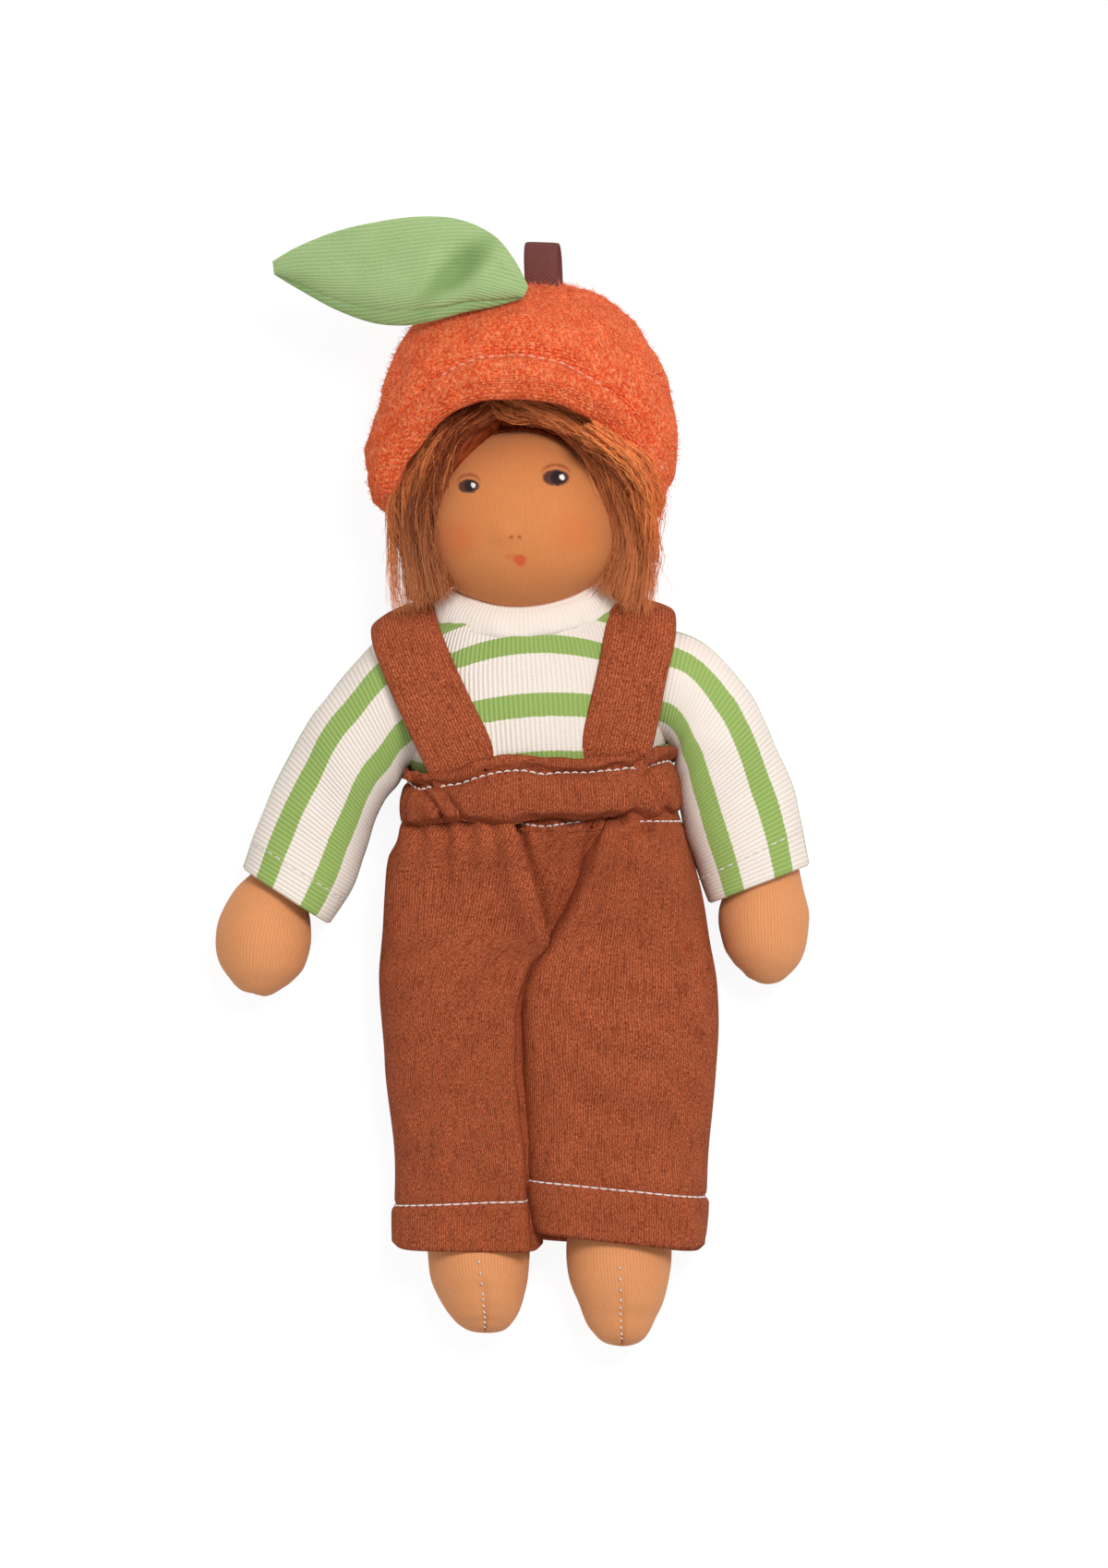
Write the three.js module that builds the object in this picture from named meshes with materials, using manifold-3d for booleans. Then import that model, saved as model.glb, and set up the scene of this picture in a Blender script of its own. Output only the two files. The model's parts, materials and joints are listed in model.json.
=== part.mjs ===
// A soft stuffed doll in a rib sweater, dungarees and a fruit hat, lying on its back with its arms down.
// Millimetres. +X is towards the doll's left hand, +Y towards its head and +Z out of its chest.
// The origin is the middle of the doll's outline, on the surface that it lies on.
import * as THREE from "three";
import { mergeVertices } from "three/addons/utils/BufferGeometryUtils.js";
import Module from "manifold-3d";

const wasm = await Module();
wasm.setup();

const degrees = THREE.MathUtils.degToRad;

// Clearances and cloth thicknesses
const gap = 0.4; // between a piece and its neighbour
const skinThickness = 1.1; // cotton tricot of the head, body and limbs
const knitThickness = 1.5; // rib knit of the sweater
const clothThickness = 1.6; // sweatshirt cloth of the trousers and straps
const hatThickness = 2.8; // boiled wool
const hemThickness = 1.3; // turned-in edge of the hat
const elasticThickness = 1.1;
const liningThickness = 0.9; // inner wall of the waistband
const velourThickness = 1; // each panel of the leaf
const pressedFlat = 0.5; // how deep the soft back is pressed flat where it lies

// Posture
const lean = degrees(3.8); // of the upper body, towards the doll's right hand
const headTilt = degrees(1);
const headTurn = degrees(-11);
const hatTilt = degrees(-5);

// Stuffed body, measured up from the hip line
const bodyTop = 79;
const bodyHalfWidth = 30.5;
const bodyHalfDepth = 16.5;
const bodySquareness = 2.5;

// Head and neck
const headRadius = 24.2;
const headHeight = 107; // hip line to the middle of the head
const crownRise = 32; // middle of the head to the top of the skull
const neckRadius = 8;
const neckBottom = 67;
const neckTop = 84; // the head nods about the neck's rounded top
const neckForward = 6.2;
const headForward = 8.6;
const nodRange = degrees(10);
const chinRoom = 1.1;
const tieRadius = 0.8;
const tieDrop = 3; // the thread ties the neck this far below its top

// Sweater
const armholeRadius = 14;
const armholeOut = 34.4; // middle of the body to the armhole seam
const armholeHeight = 59;
const armholeBack = 1;
const armholeRing = 1.1; // width of the seam
const sweaterBottom = 31;
const collarHalfWidth = 24;
const collarHalfDepth = 15;
const collarBottom = 75.5;
const collarTop = 84;
const collarTaper = 2.5;

// Arms
const sleeveHalfWidth = 12.6;
const cuffHalfWidth = 13.8;
const sleeveHalfDepth = 12;
const sleeveLength = 39.5; // end of the shoulder bend to the cuff
const sleeveHem = 5.4; // depth of the turned hem
const skinInSleeve = 3.6; // the arm is this much thinner than its sleeve
const wristRadius = 8.6;
const handHalfWidth = 12.6;
const handHalfDepth = 12;
const handHalfLength = 13.4;
const handOut = 53; // end of the shoulder bend to the middle of the hand
const leftArm = { side: 1, turn: degrees(78), opened: degrees(1), handIn: degrees(7) };
const rightArm = { side: -1, turn: degrees(64), opened: degrees(4), handIn: degrees(1) };

// Trousers
const bandBottom = 29.6;
const bandHeight = 15;
const bandBulge = 1.2;
const seatBottom = 4;
const seatHalfWidth = 40.6;
const seatHalfDepth = 22.6;
const elasticBottom = 33;
const elasticHeight = 7;
const strapWidth = 14;
const strapFoot = 16.5; // middle of the body to the strap's middle, at the waistband
const strapTop = 27; // the same, at the shoulder
const strapTuck = 0.6; // the strap ends this far above the waistband
const hipRadius = 19; // rounded top of each trouser leg
const trouserLegOut = 20.8;
const trouserLegHalfWidth = 20.2;
const trouserLegLength = 82;
const hemHalfWidth = 19.6;
const hemHalfDepth = 15.4;
const hemOut = 20.4;
const trouserHem = 11.5;

// Legs
const legOut = 18.4;
const tieHole = 5; // radius of the filling hole at the top of a leg
const thighHalfWidth = 14.8;
const thighHalfDepth = 14.4;
const ankleHalfWidth = 12;
const ankleHalfDepth = 11.4;
const footShows = 12.4; // from the trouser hem to the middle of the foot
const footDrop = trouserLegLength + footShows;
const footHalfLength = 15;
const footHalfWidth = 13.6;
const footHalfHeight = 11.6;
const footTurnUp = degrees(40);

// Hat, measured from its own middle
const hatRise = 20.4; // middle of the head to the middle of the hat
const hatHalfWidth = 40;
const hatHalfDepth = 33;
const hatCrownHeight = 42;
const hatDrop = 27; // middle of the hat to the lowest place of the rim
const rimTaper = 1.6;
const rimFront = 10; // the rim's height over the forehead
const rimSide = -22;
const hemHeight = 9;
const tapeWidth = 9.4;
const tapeThickness = 1.2;
const tapeLoopHeight = 13.4;
const tapeLoopGap = 2.4;
const tapeSideways = 4.4;
const tapeFoot = 40.4;

// Leaf, from its root over the crown
const leafLength = 66;
const leafHalfWidth = 13.4;
const leafHalfThickness = 5;
const leafBow = 2.1; // how far the middle bows up from the line between its ends
const leafRoot = [3.6, 38.6, 23.4];
const leafTurn = degrees(173.3);
const leafDroop = degrees(5);

// Hair
const wigThickness = 1.5;
const wigFront = 3.5; // how far in front of the ears the wig reaches
const wigSlope = degrees(9);
const wigBottom = -17;
const fringeThickness = 1.9;
const faceHalfWidth = 22.4; // of the opening that the hair leaves
const faceTop = 25.5;
const faceBottom = 27;
const faceLean = degrees(12);
const parting = -10;
const napeThickness = 1.4;
const napeTop = -3;
const napeBottom = -20;
const napeFront = -7;
const lockHalfWidth = 4.2;
const lockHalfDepth = 7.5;
const lockTop = 11;
const lockBottom = -20.2;
const lockForward = 2;

const colours = {
  skin: 0xd08a4c,
  wool: 0xf0e6d2,
  thread: 0xe9e2d6,
  sweater: 0xeadfd0,
  trousers: 0x9a4a26,
  elastic: 0xf4f1ea,
  hair: 0x8a4a22,
  hat: 0xe0552a,
  tape: 0x5c2f2c,
  leaf: 0x8fb56a,
};

// Shapes

const reach = 8 * headRadius * 2; // a cutter of this size covers the whole doll
const sideways = new THREE.Vector3(1, 0, 0);
const outwards = new THREE.Vector3(0, 0, 1);
const at = (x, y, z) => new THREE.Vector3(x, y, z);

function signedVolume(positions, triVerts) {
  const corners = [at(0, 0, 0), at(0, 0, 0), at(0, 0, 0)];
  let sum = 0;
  for (let i = 0; i < triVerts.length; i += 3) {
    corners.forEach((v, j) => v.fromArray(positions, triVerts[i + j] * 3));
    sum += corners[0].dot(corners[1].clone().cross(corners[2]));
  }
  return sum;
}

// A closed geometry as a solid that can be joined and cut.
function solid(geometry) {
  const bare = new THREE.BufferGeometry();
  bare.setAttribute("position", geometry.getAttribute("position"));
  bare.setIndex(geometry.getIndex());
  const merged = mergeVertices(bare);
  const positions = merged.getAttribute("position").array;
  const kept = [];
  for (let i = 0; i < merged.index.count; i += 3) {
    const [a, b, c] = merged.index.array.subarray(i, i + 3);
    if (a !== b && b !== c && a !== c) kept.push(a, b, c);
  }
  if (signedVolume(positions, kept) < 0) {
    for (let i = 0; i < kept.length; i += 3) [kept[i], kept[i + 1]] = [kept[i + 1], kept[i]];
  }
  const triVerts = new Uint32Array(kept);
  return new wasm.Manifold(new wasm.Mesh({ numProp: 3, vertProperties: positions, triVerts }));
}

function geometryOf(made) {
  const mesh = made.getMesh();
  const geometry = new THREE.BufferGeometry();
  geometry.setAttribute("position", new THREE.BufferAttribute(mesh.vertProperties, 3));
  geometry.setIndex(new THREE.BufferAttribute(mesh.triVerts, 1));
  geometry.computeVertexNormals();
  return geometry;
}

// A closed body through rings that all have the same number of points.
function loft(rings) {
  const sides = rings[0].length;
  const points = rings.flat();
  const middleOf = (ring) => ring.reduce((sum, p) => sum.add(p), at(0, 0, 0)).divideScalar(sides);
  const firstMiddle = points.length;
  const lastRing = firstMiddle - sides;
  points.push(middleOf(rings[0]), middleOf(rings[rings.length - 1]));
  const index = [];
  for (let i = 0; i < sides; i++) {
    const next = (i + 1) % sides;
    index.push(firstMiddle, next, i, firstMiddle + 1, lastRing + i, lastRing + next);
    for (let low = 0; low < lastRing; low += sides) {
      const high = low + sides;
      index.push(low + i, low + next, high + i, low + next, high + next, high + i);
    }
  }
  return new THREE.BufferGeometry().setFromPoints(points).setIndex(index);
}

// A rounded outline about a middle point; a squareness of 2 is an ellipse.
function outline(middle, halfWidth, halfDepth, sides, squareness = 2, across = sideways, deep = outwards) {
  const power = 2 / squareness;
  return Array.from({ length: sides }, (_, i) => {
    const angle = (2 * Math.PI * (i + 0.5)) / sides;
    const c = Math.cos(angle);
    const s = Math.sin(angle);
    const u = halfWidth * Math.sign(c) * Math.abs(c) ** power;
    const v = halfDepth * Math.sign(s) * Math.abs(s) ** power;
    return middle.clone().addScaledVector(across, u).addScaledVector(deep, v);
  });
}

// A table's values at a place; the first column is the place.
function readTable(table, place) {
  const last = table.length - 2;
  const found = table.findIndex((row, i) => i <= last && place <= table[i + 1][0]);
  const k = found < 0 ? last : found;
  const t = THREE.MathUtils.clamp((place - table[k][0]) / (table[k + 1][0] - table[k][0]), 0, 1);
  const row = (n) => table[THREE.MathUtils.clamp(n, 0, table.length - 1)];
  return table[0].slice(1).map((_, c) => {
    const [a, b, d, e] = [k - 1, k, k + 1, k + 2].map((n) => row(n)[c + 1]);
    const bend = (2 * a - 5 * b + 4 * d - e) * t * t + (3 * b - a - 3 * d + e) * t * t * t;
    return (2 * b + (d - a) * t + bend) / 2;
  });
}

const steps = (from, to, count) => Array.from({ length: count + 1 }, (_, i) => from + ((to - from) * i) / count);

function block(width, height, depth, x, y, z) {
  return new THREE.BoxGeometry(width, height, depth).translate(x, y, z);
}

const below = (height) => block(reach, reach, reach, 0, height - reach / 2, 0);
const above = (height) => block(reach, reach, reach, 0, height + reach / 2, 0);

function ball(halfWidth, halfHeight, halfDepth, around = 20, rows = 12) {
  return new THREE.SphereGeometry(1, around, rows).scale(halfWidth, halfHeight, halfDepth);
}

function bar(radius, low, high, sides = 24) {
  return new THREE.CylinderGeometry(radius, radius, high - low, sides).translate(0, (low + high) / 2, 0);
}

// Scene graph. The legs hang straight from the hips; the upper body leans above them.

const doll = new THREE.Group();
const hips = new THREE.Group();
const upper = new THREE.Group();
const head = new THREE.Group();
const hat = new THREE.Group();
const leaf = new THREE.Group();
doll.add(hips, upper);
upper.add(head);
head.add(hat);
hat.add(leaf);

const sweaterOut = gap + knitThickness;
const liningIn = sweaterOut + gap;
const channelIn = liningIn + liningThickness;
const channelOut = channelIn + gap + elasticThickness + gap;
const bandOut = channelOut + clothThickness;
const upperHeight = bodyHalfDepth + bandOut + bandBulge - pressedFlat;
const hipHeight = hipRadius + gap;
upper.position.set(0, 0, upperHeight);
upper.rotation.z = lean;
hips.position.set(0, 0, hipHeight);
head.position.set(0, headHeight, headForward);
head.rotation.set(0, headTurn, headTilt);
hat.position.set(0, hatRise, 0);
hat.rotation.z = hatTilt;
leaf.position.set(leafRoot[0], leafRoot[1], leafRoot[2]);
leaf.rotation.set(0, leafDroop, leafTurn, "ZYX");
doll.updateMatrixWorld(true);

// Everything under the table top, in a group's own measure.
function underTable(group) {
  const table = block(reach, reach, reach, 0, 0, -reach / 2);
  return solid(table.applyMatrix4(group.matrixWorld.clone().invert()));
}

function add(group, name, made, colour, roughness = 0.9) {
  const material = new THREE.MeshStandardMaterial({ color: colour, roughness, metalness: 0 });
  const mesh = new THREE.Mesh(geometryOf(made.subtract(underTable(group))), material);
  mesh.name = name;
  group.add(mesh);
}

// Stuffed body

const bodyShares = [
  // height, half width, half depth and forward shift
  [0.14, 0.94, 0.94, 0],
  [0.35, 0.95, 1, 0],
  [0.55, 0.96, 1, 0.02],
  [0.74, 1, 0.96, 0.06],
  [0.87, 0.98, 0.88, 0.14],
  [0.95, 0.87, 0.76, 0.22],
  [1, 0.64, 0.56, 0.28],
];

function bodyRing(height, grow, sides) {
  const [wide, deep, forward] = readTable(bodyShares, height / bodyTop);
  const middle = at(0, height + (height === bodyTop ? grow : 0), forward * bodyHalfDepth);
  return outline(middle, wide * bodyHalfWidth + grow, deep * bodyHalfDepth + grow, sides, bodySquareness);
}

function bodyShape(grow, sides = 20, from = bodyShares[0][0] * bodyTop) {
  const heights = [from, ...bodyShares.map(([share]) => share * bodyTop).filter((h) => h > from + gap)];
  return solid(loft(heights.map((height) => bodyRing(height, grow, sides))));
}

// The legs' measure, as cutters in the measure of the upper body.
const fromHips = upper.matrixWorld.clone().invert().multiply(hips.matrixWorld);

function legSwing(radius) {
  const roller = bar(radius, -reach / 4, reach / 4, 32).rotateZ(Math.PI / 2);
  const front = block(reach, reach, reach, 0, radius - reach / 2, reach / 2);
  return solid(roller.applyMatrix4(fromHips)).add(solid(front.applyMatrix4(fromHips)));
}

const hipLine = (height) => solid(below(height).applyMatrix4(fromHips));
const neckBore = solid(bar(neckRadius + gap, neckBottom - gap, reach).translate(0, 0, neckForward));
const bodyBottom = hipRadius + gap;
const bodyInside = bodyShape(-skinThickness, 14).subtract(hipLine(bodyBottom + skinThickness));
const bodyWool = bodyShape(-skinThickness - gap, 14).subtract(hipLine(bodyBottom + skinThickness + gap));
add(
  upper,
  "torso_skin",
  bodyShape(0).subtract(hipLine(bodyBottom)).subtract(bodyInside).subtract(neckBore),
  colours.skin,
);
add(upper, "torso_wool_stuffing", bodyWool.subtract(neckBore), colours.wool);

// Neck

const neckStem = solid(bar(neckRadius, neckBottom, neckTop, 16).translate(0, 0, neckForward));
const neckBall = (grow) => 
  solid(ball(neckRadius + grow, neckRadius + grow, neckRadius + grow, 16, 10).translate(0, neckTop, neckForward));
add(upper, "neck", neckStem.add(neckBall(0)), colours.skin);
const tie = new THREE.TorusGeometry(neckRadius + gap + tieRadius, tieRadius, 6, 18).rotateX(Math.PI / 2);
add(upper, "neck_tie_thread", solid(tie.translate(0, neckTop - tieDrop, neckForward)), colours.thread, 0.7);

// Head

const toHead = head.matrix.clone().invert();
const headBall = (grow, around = 20, rows = 14) => {
  const radius = headRadius + grow;
  const made = ball(radius, radius, radius, around, rows);
  const place = made.getAttribute("position");
  for (let i = 0; i < place.count; i++) {
    if (place.getY(i) > 0) place.setY(i, (place.getY(i) * (crownRise + grow)) / radius);
  }
  return solid(made);
};
const neckSocket = neckBall(gap).transform([...toHead.elements]);
add(head, "head_skin", headBall(0).subtract(headBall(-skinThickness, 14, 9)).subtract(neckSocket), colours.skin);
add(head, "head_wool_core", headBall(-skinThickness - gap, 14, 9).subtract(neckSocket), colours.wool);

// Sweater

const alongX = (geometry, side) => geometry.rotateZ((-side * Math.PI) / 2);
const armholeBar = (side, radius, from, to) =>
  solid(alongX(bar(radius, from, to, 24), side).translate(0, armholeHeight, -armholeBack));
const bothArmholes = (radius, from, to) => armholeBar(1, radius, from, to).add(armholeBar(-1, radius, from, to));

function collarShape(grow, from, to) {
  const rings = [0, 1].map((t) => {
    const height = THREE.MathUtils.lerp(from, to, t);
    const size = grow - collarTaper * t;
    return outline(at(0, height, neckForward), collarHalfWidth + size, collarHalfDepth + size, 20);
  });
  return solid(loft(rings));
}

const neckHole = solid(
  loft([collarBottom, reach].map((y) => outline(at(0, y, neckForward), collarHalfWidth + gap, collarHalfDepth + gap, 20))),
);
const sweaterShell = bodyShape(sweaterOut)
  .add(bothArmholes(armholeRadius, bodyHalfWidth / 2, armholeOut))
  .subtract(bodyShape(gap))
  .subtract(bothArmholes(armholeRadius - knitThickness, bodyHalfWidth / 2, reach))
  .subtract(solid(below(sweaterBottom)))
  .subtract(neckHole);
const backHalf = (offset) => solid(block(reach, reach, reach, 0, 0, -armholeBack - offset - reach / 2));
const frontHalf = (offset) => solid(block(reach, reach, reach, 0, 0, -armholeBack + offset + reach / 2));
add(upper, "sweater_front", sweaterShell.subtract(backHalf(-gap / 2)), colours.sweater);
add(upper, "sweater_back", sweaterShell.subtract(frontHalf(-gap / 2)), colours.sweater);

// Where the chin goes as the head nods, so that it presses into no collar.
const chin = steps(-nodRange, nodRange, 4).map((angle) => {
  const arm = at(0, headHeight - neckTop, headForward - neckForward).applyAxisAngle(sideways, angle);
  const size = headRadius + chinRoom;
  return solid(ball(size, size, size, 28, 18)).translate(arm.x, neckTop + arm.y, neckForward + arm.z);
});
const chinSweep = chin.reduce((all, one) => all.add(one));
const collarRing = collarShape(0, collarBottom, collarTop)
  .subtract(chinSweep)
  .subtract(collarShape(-knitThickness, collarBottom - gap, collarTop + gap))
  .subtract(bodyShape(gap));
add(upper, "sweater_collar", collarRing, colours.sweater);

// Waistband, with its elastic in a channel that is open below

const bandTop = bandBottom + bandHeight;

function bandShape(grow, bulge, from, to) {
  const heights = steps(from, to, bulge ? 3 : 1);
  const rings = heights.map((height, i) =>
    bodyRing(height, grow + bulge * Math.sin((Math.PI * i) / (heights.length - 1)), 24),
  );
  return solid(loft(rings));
}

const channel = bandShape(channelOut, 0, bandBottom - gap, bandTop - clothThickness).subtract(
  bandShape(channelIn, 0, bandBottom - 2 * gap, bandTop),
);
const waistband = bandShape(bandOut, bandBulge, bandBottom, bandTop)
  .subtract(bandShape(liningIn, 0, bandBottom - gap, bandTop + gap))
  .subtract(channel);
add(upper, "waistband", waistband, colours.trousers);
const elastic = bandShape(channelOut - gap, 0, elasticBottom, elasticBottom + elasticHeight).subtract(
  bandShape(channelIn + gap, 0, elasticBottom - gap, elasticBottom + elasticHeight + gap),
);
add(upper, "waist_elastic", elastic, colours.elastic);

// Seat of the trousers, in two halves with a seam down the middle

const seatTop = bandBottom - gap;

function seatShape(grow) {
  const [wide, deep] = readTable(bodyShares, seatTop / bodyTop);
  const bandWide = wide * bodyHalfWidth + bandOut;
  const bandDeep = deep * bodyHalfDepth + bandOut;
  const low = -seatBottom;
  const rings = steps(0, 1, 4).map((t) => {
    const height = THREE.MathUtils.lerp(low, seatTop + (grow < 0 ? gap : 0), t);
    const rise = t ** 2;
    const halfWidth = THREE.MathUtils.lerp(seatHalfWidth, bandWide, rise);
    const halfDepth = THREE.MathUtils.lerp(seatHalfDepth, bandDeep, rise);
    const back = THREE.MathUtils.lerp(seatHalfDepth - upperHeight - pressedFlat, 0, rise);
    return outline(at(0, height, back), halfWidth + grow, halfDepth + grow, 24, bodySquareness);
  });
  return solid(loft(rings));
}

const seat = seatShape(0)
  .subtract(seatShape(-clothThickness))
  .subtract(legSwing(hipRadius + gap))
  .subtract(hipLine(seatBottom));
const halfOf = (side, offset) => solid(block(reach, reach, reach, side * (offset + reach / 2), 0, 0));
add(upper, "left_trouser_seat", largest(seat.intersect(halfOf(1, gap / 2))), colours.trousers);
add(upper, "right_trouser_seat", largest(seat.intersect(halfOf(-1, gap / 2))), colours.trousers);

// The one connected piece that is worth keeping after a cut.
function largest(made) {
  return made.decompose().reduce((best, piece) => (piece.volume() > best.volume() ? piece : best));
}

// Straps, from the waistband over the shoulders and down the back

const strapIn = sweaterOut + gap;
const strapCloth = bodyShape(strapIn + clothThickness)
  .subtract(bodyShape(strapIn))
  .subtract(solid(below(bandTop + strapTuck)))
  .subtract(bothArmholes(armholeRadius + gap, bodyHalfWidth / 2, reach))
  .subtract(collarShape(gap, collarBottom - gap, reach));

function strapPath(side) {
  const corners = [-1, -1, 1, 1].map((sign, i) => [sign * strapWidth / 2, (i % 3 ? 1 : -1) * reach / 2]);
  const ends = [[bandTop, strapFoot], [bodyTop + sweaterOut + clothThickness, strapTop]];
  const rings = ends.map(([height, out]) => corners.map(([x, z]) => at(side * out + x, height, z)));
  return solid(loft(rings));
}

add(upper, "left_strap", largest(strapCloth.intersect(strapPath(1))), colours.trousers);
add(upper, "right_strap", largest(strapCloth.intersect(strapPath(-1))), colours.trousers);

// Arms. Each hangs from a hinge over its armhole, bends down about the armpit and then runs straight.

const hingeOut = armholeOut + gap + armholeRing + gap;
const seamInside = armholeRadius - knitThickness;

function armPlace(arm, place) {
  const angle = arm.turn * Math.min(place, 1);
  const across = at(Math.sin(angle), Math.cos(angle), 0);
  const along = at(Math.cos(angle), -Math.sin(angle), 0);
  const halfWidth = THREE.MathUtils.lerp(armholeRadius, sleeveHalfWidth, Math.min(place, 1));
  const middle = at(0, -2 * armholeRadius - gap, 0)
    .addScaledVector(across, halfWidth + gap)
    .addScaledVector(along, Math.max(place - 1, 0) * sleeveLength);
  return { middle, across, along, halfWidth };
}

function armRing(arm, place, halfWidth, halfDepth, sides, past = 0) {
  const { middle, across, along } = armPlace(arm, place);
  return outline(middle.addScaledVector(along, past), halfWidth, halfDepth, sides, 2, across);
}

const sleeveTable = [
  // round the bend up to 1, then down to the cuff at 2: half width and half depth
  [0, armholeRadius, armholeRadius],
  [0.5, (armholeRadius + sleeveHalfWidth) / 2, armholeRadius],
  [1, sleeveHalfWidth, sleeveHalfDepth],
  [2, cuffHalfWidth, sleeveHalfDepth],
];

function sleeveShape(arm, grow, from, to, past = 0) {
  const places = [...steps(0, 1, 4), 1.5].filter((place) => place > from && place < to);
  const rings = [from, ...places, to].map((place) => {
    const [wide, deep] = readTable(sleeveTable, place);
    const push = past * ((place === to) - (place === from));
    return armRing(arm, place, wide + grow, deep + grow, 18, push);
  });
  return solid(mirrored(arm, loft(rings)));
}

function mirrored(arm, geometry) {
  return geometry.scale(arm.side, 1, 1);
}

function handMiddle(arm) {
  const wrist = armPlace(arm, 2);
  const turned = wrist.along.clone().applyAxisAngle(outwards, -arm.handIn);
  return wrist.middle.clone().addScaledVector(turned, handOut - sleeveLength);
}

function armSkinShape(arm, grow) {
  const startPast = grow === -skinThickness ? grow : 0;
  const tube = [...steps(0, 1, 3), 1.5, 2.1].map((place, i) => {
    const [wide, deep] = readTable(sleeveTable, Math.min(place, 1));
    const wrist = THREE.MathUtils.clamp(place - 1, 0, 1);
    const halfWidth = THREE.MathUtils.lerp(wide - skinInSleeve, wristRadius, wrist) + grow;
    const halfDepth = THREE.MathUtils.lerp(deep - skinInSleeve, wristRadius, wrist) + grow;
    return armRing(arm, place, halfWidth, halfDepth, grow ? 12 : 16, i ? 0 : startPast);
  });
  const { along } = armPlace(arm, 2);
  const hand = ball(handHalfWidth + grow, handHalfLength + grow, handHalfDepth + grow, grow ? 12 : 16, grow ? 8 : 12);
  const middle = handMiddle(arm);
  hand.rotateZ(Math.atan2(along.x, -along.y) - arm.handIn).translate(middle.x, middle.y, 0);
  return solid(mirrored(arm, loft(tube))).add(solid(mirrored(arm, hand)));
}

function addArm(name, arm) {
  const shoulder = new THREE.Group();
  const limb = new THREE.Group();
  upper.add(shoulder);
  shoulder.add(limb);
  const reachDown = handMiddle(arm).length() - armholeRadius;
  const drop = upperHeight - armholeBack - handHalfDepth + pressedFlat;
  shoulder.position.set(0, armholeHeight, -armholeBack);
  shoulder.rotation.x = Math.asin(drop / reachDown);
  limb.position.set(arm.side * hingeOut, armholeRadius, 0);
  limb.rotation.z = arm.side * arm.opened;
  doll.updateMatrixWorld(true);
  const ring = bar(armholeRadius, armholeOut + gap, armholeOut + gap + armholeRing, 24);
  const hole = bar(seamInside, armholeOut, hingeOut, 24);
  const seam = solid(alongX(ring, arm.side)).subtract(solid(alongX(hole, arm.side)));
  add(shoulder, `${name}_armhole_seam`, seam, colours.sweater);
  const sleeve = sleeveShape(arm, 0, 0, 2).subtract(sleeveShape(arm, -knitThickness, 0, 2, gap));
  add(limb, `${name}_sleeve`, sleeve, colours.sweater);
  const hemFrom = 2 - sleeveHem / sleeveLength;
  const hem = sleeveShape(arm, -knitThickness - gap, hemFrom, 2);
  const hemHole = sleeveShape(arm, -knitThickness - gap - hemThickness, hemFrom, 2, gap);
  add(limb, `${name}_cuff_hem`, hem.subtract(hemHole), colours.sweater);
  add(limb, `${name}_arm_skin`, armSkinShape(arm, 0).subtract(armSkinShape(arm, -skinThickness)), colours.skin);
  add(limb, `${name}_arm_wool`, armSkinShape(arm, -skinThickness - gap), colours.wool);
}

addArm("left", leftArm);
addArm("right", rightArm);

// Legs. Each trouser leg has a rounded top on the hip axis and lies back onto the table below it.

const legSettles = 0.3; // share of the leg's length by which it has come down to the table

const trouserTable = [
  // share of the length, half width, half depth and distance from the middle
  [0, trouserLegHalfWidth, hipRadius, trouserLegOut],
  [0.35, trouserLegHalfWidth, (hipRadius + hemHalfDepth) / 2, trouserLegOut],
  [1, hemHalfWidth, hemHalfDepth, hemOut],
];

const thighTable = [
  [0, thighHalfWidth, thighHalfDepth, legOut],
  [1, ankleHalfWidth, ankleHalfDepth, legOut],
];

function legRing(table, side, drop, grow, sides, squareness) {
  const share = drop / trouserLegLength;
  const [wide, deep, out] = readTable(table, share);
  const [, cloth] = readTable(trouserTable, share);
  const settled = THREE.MathUtils.clamp(share / legSettles, 0, 1);
  const back = settled * (cloth - pressedFlat - hipHeight);
  return outline(at(side * out, -drop, back), wide + grow, deep + grow, sides, squareness);
}

function legShape(table, side, grow, from, to, sides, squareness = 2) {
  const places = [0, 0.16, 0.5].map((share) => share * trouserLegLength);
  const drops = [from, ...places.filter((drop) => drop > from && drop < to), to];
  return solid(loft(drops.map((drop) => legRing(table, side, drop, grow, sides, squareness))));
}

const hipTrim = (radius) => {
  const roller = solid(bar(radius, -reach / 4, reach / 4, 32).rotateZ(Math.PI / 2));
  return roller.add(solid(below(0)));
};

const footRise = Math.hypot(footHalfLength * Math.sin(footTurnUp), footHalfHeight * Math.cos(footTurnUp));

function legSkinShape(side, grow) {
  const leg = legShape(thighTable, side, grow, -hipRadius, footDrop - footHalfHeight / 2, grow ? 12 : 18);
  const foot = ball(footHalfWidth + grow, footHalfLength + grow, footHalfHeight + grow, grow ? 12 : 18, grow ? 8 : 12);
  foot.rotateX(-footTurnUp).translate(side * legOut, -footDrop, footRise - pressedFlat - hipHeight);
  const rounding = hipTrim(hipRadius - clothThickness - gap + grow);
  return leg.intersect(rounding).add(solid(foot));
}

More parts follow.
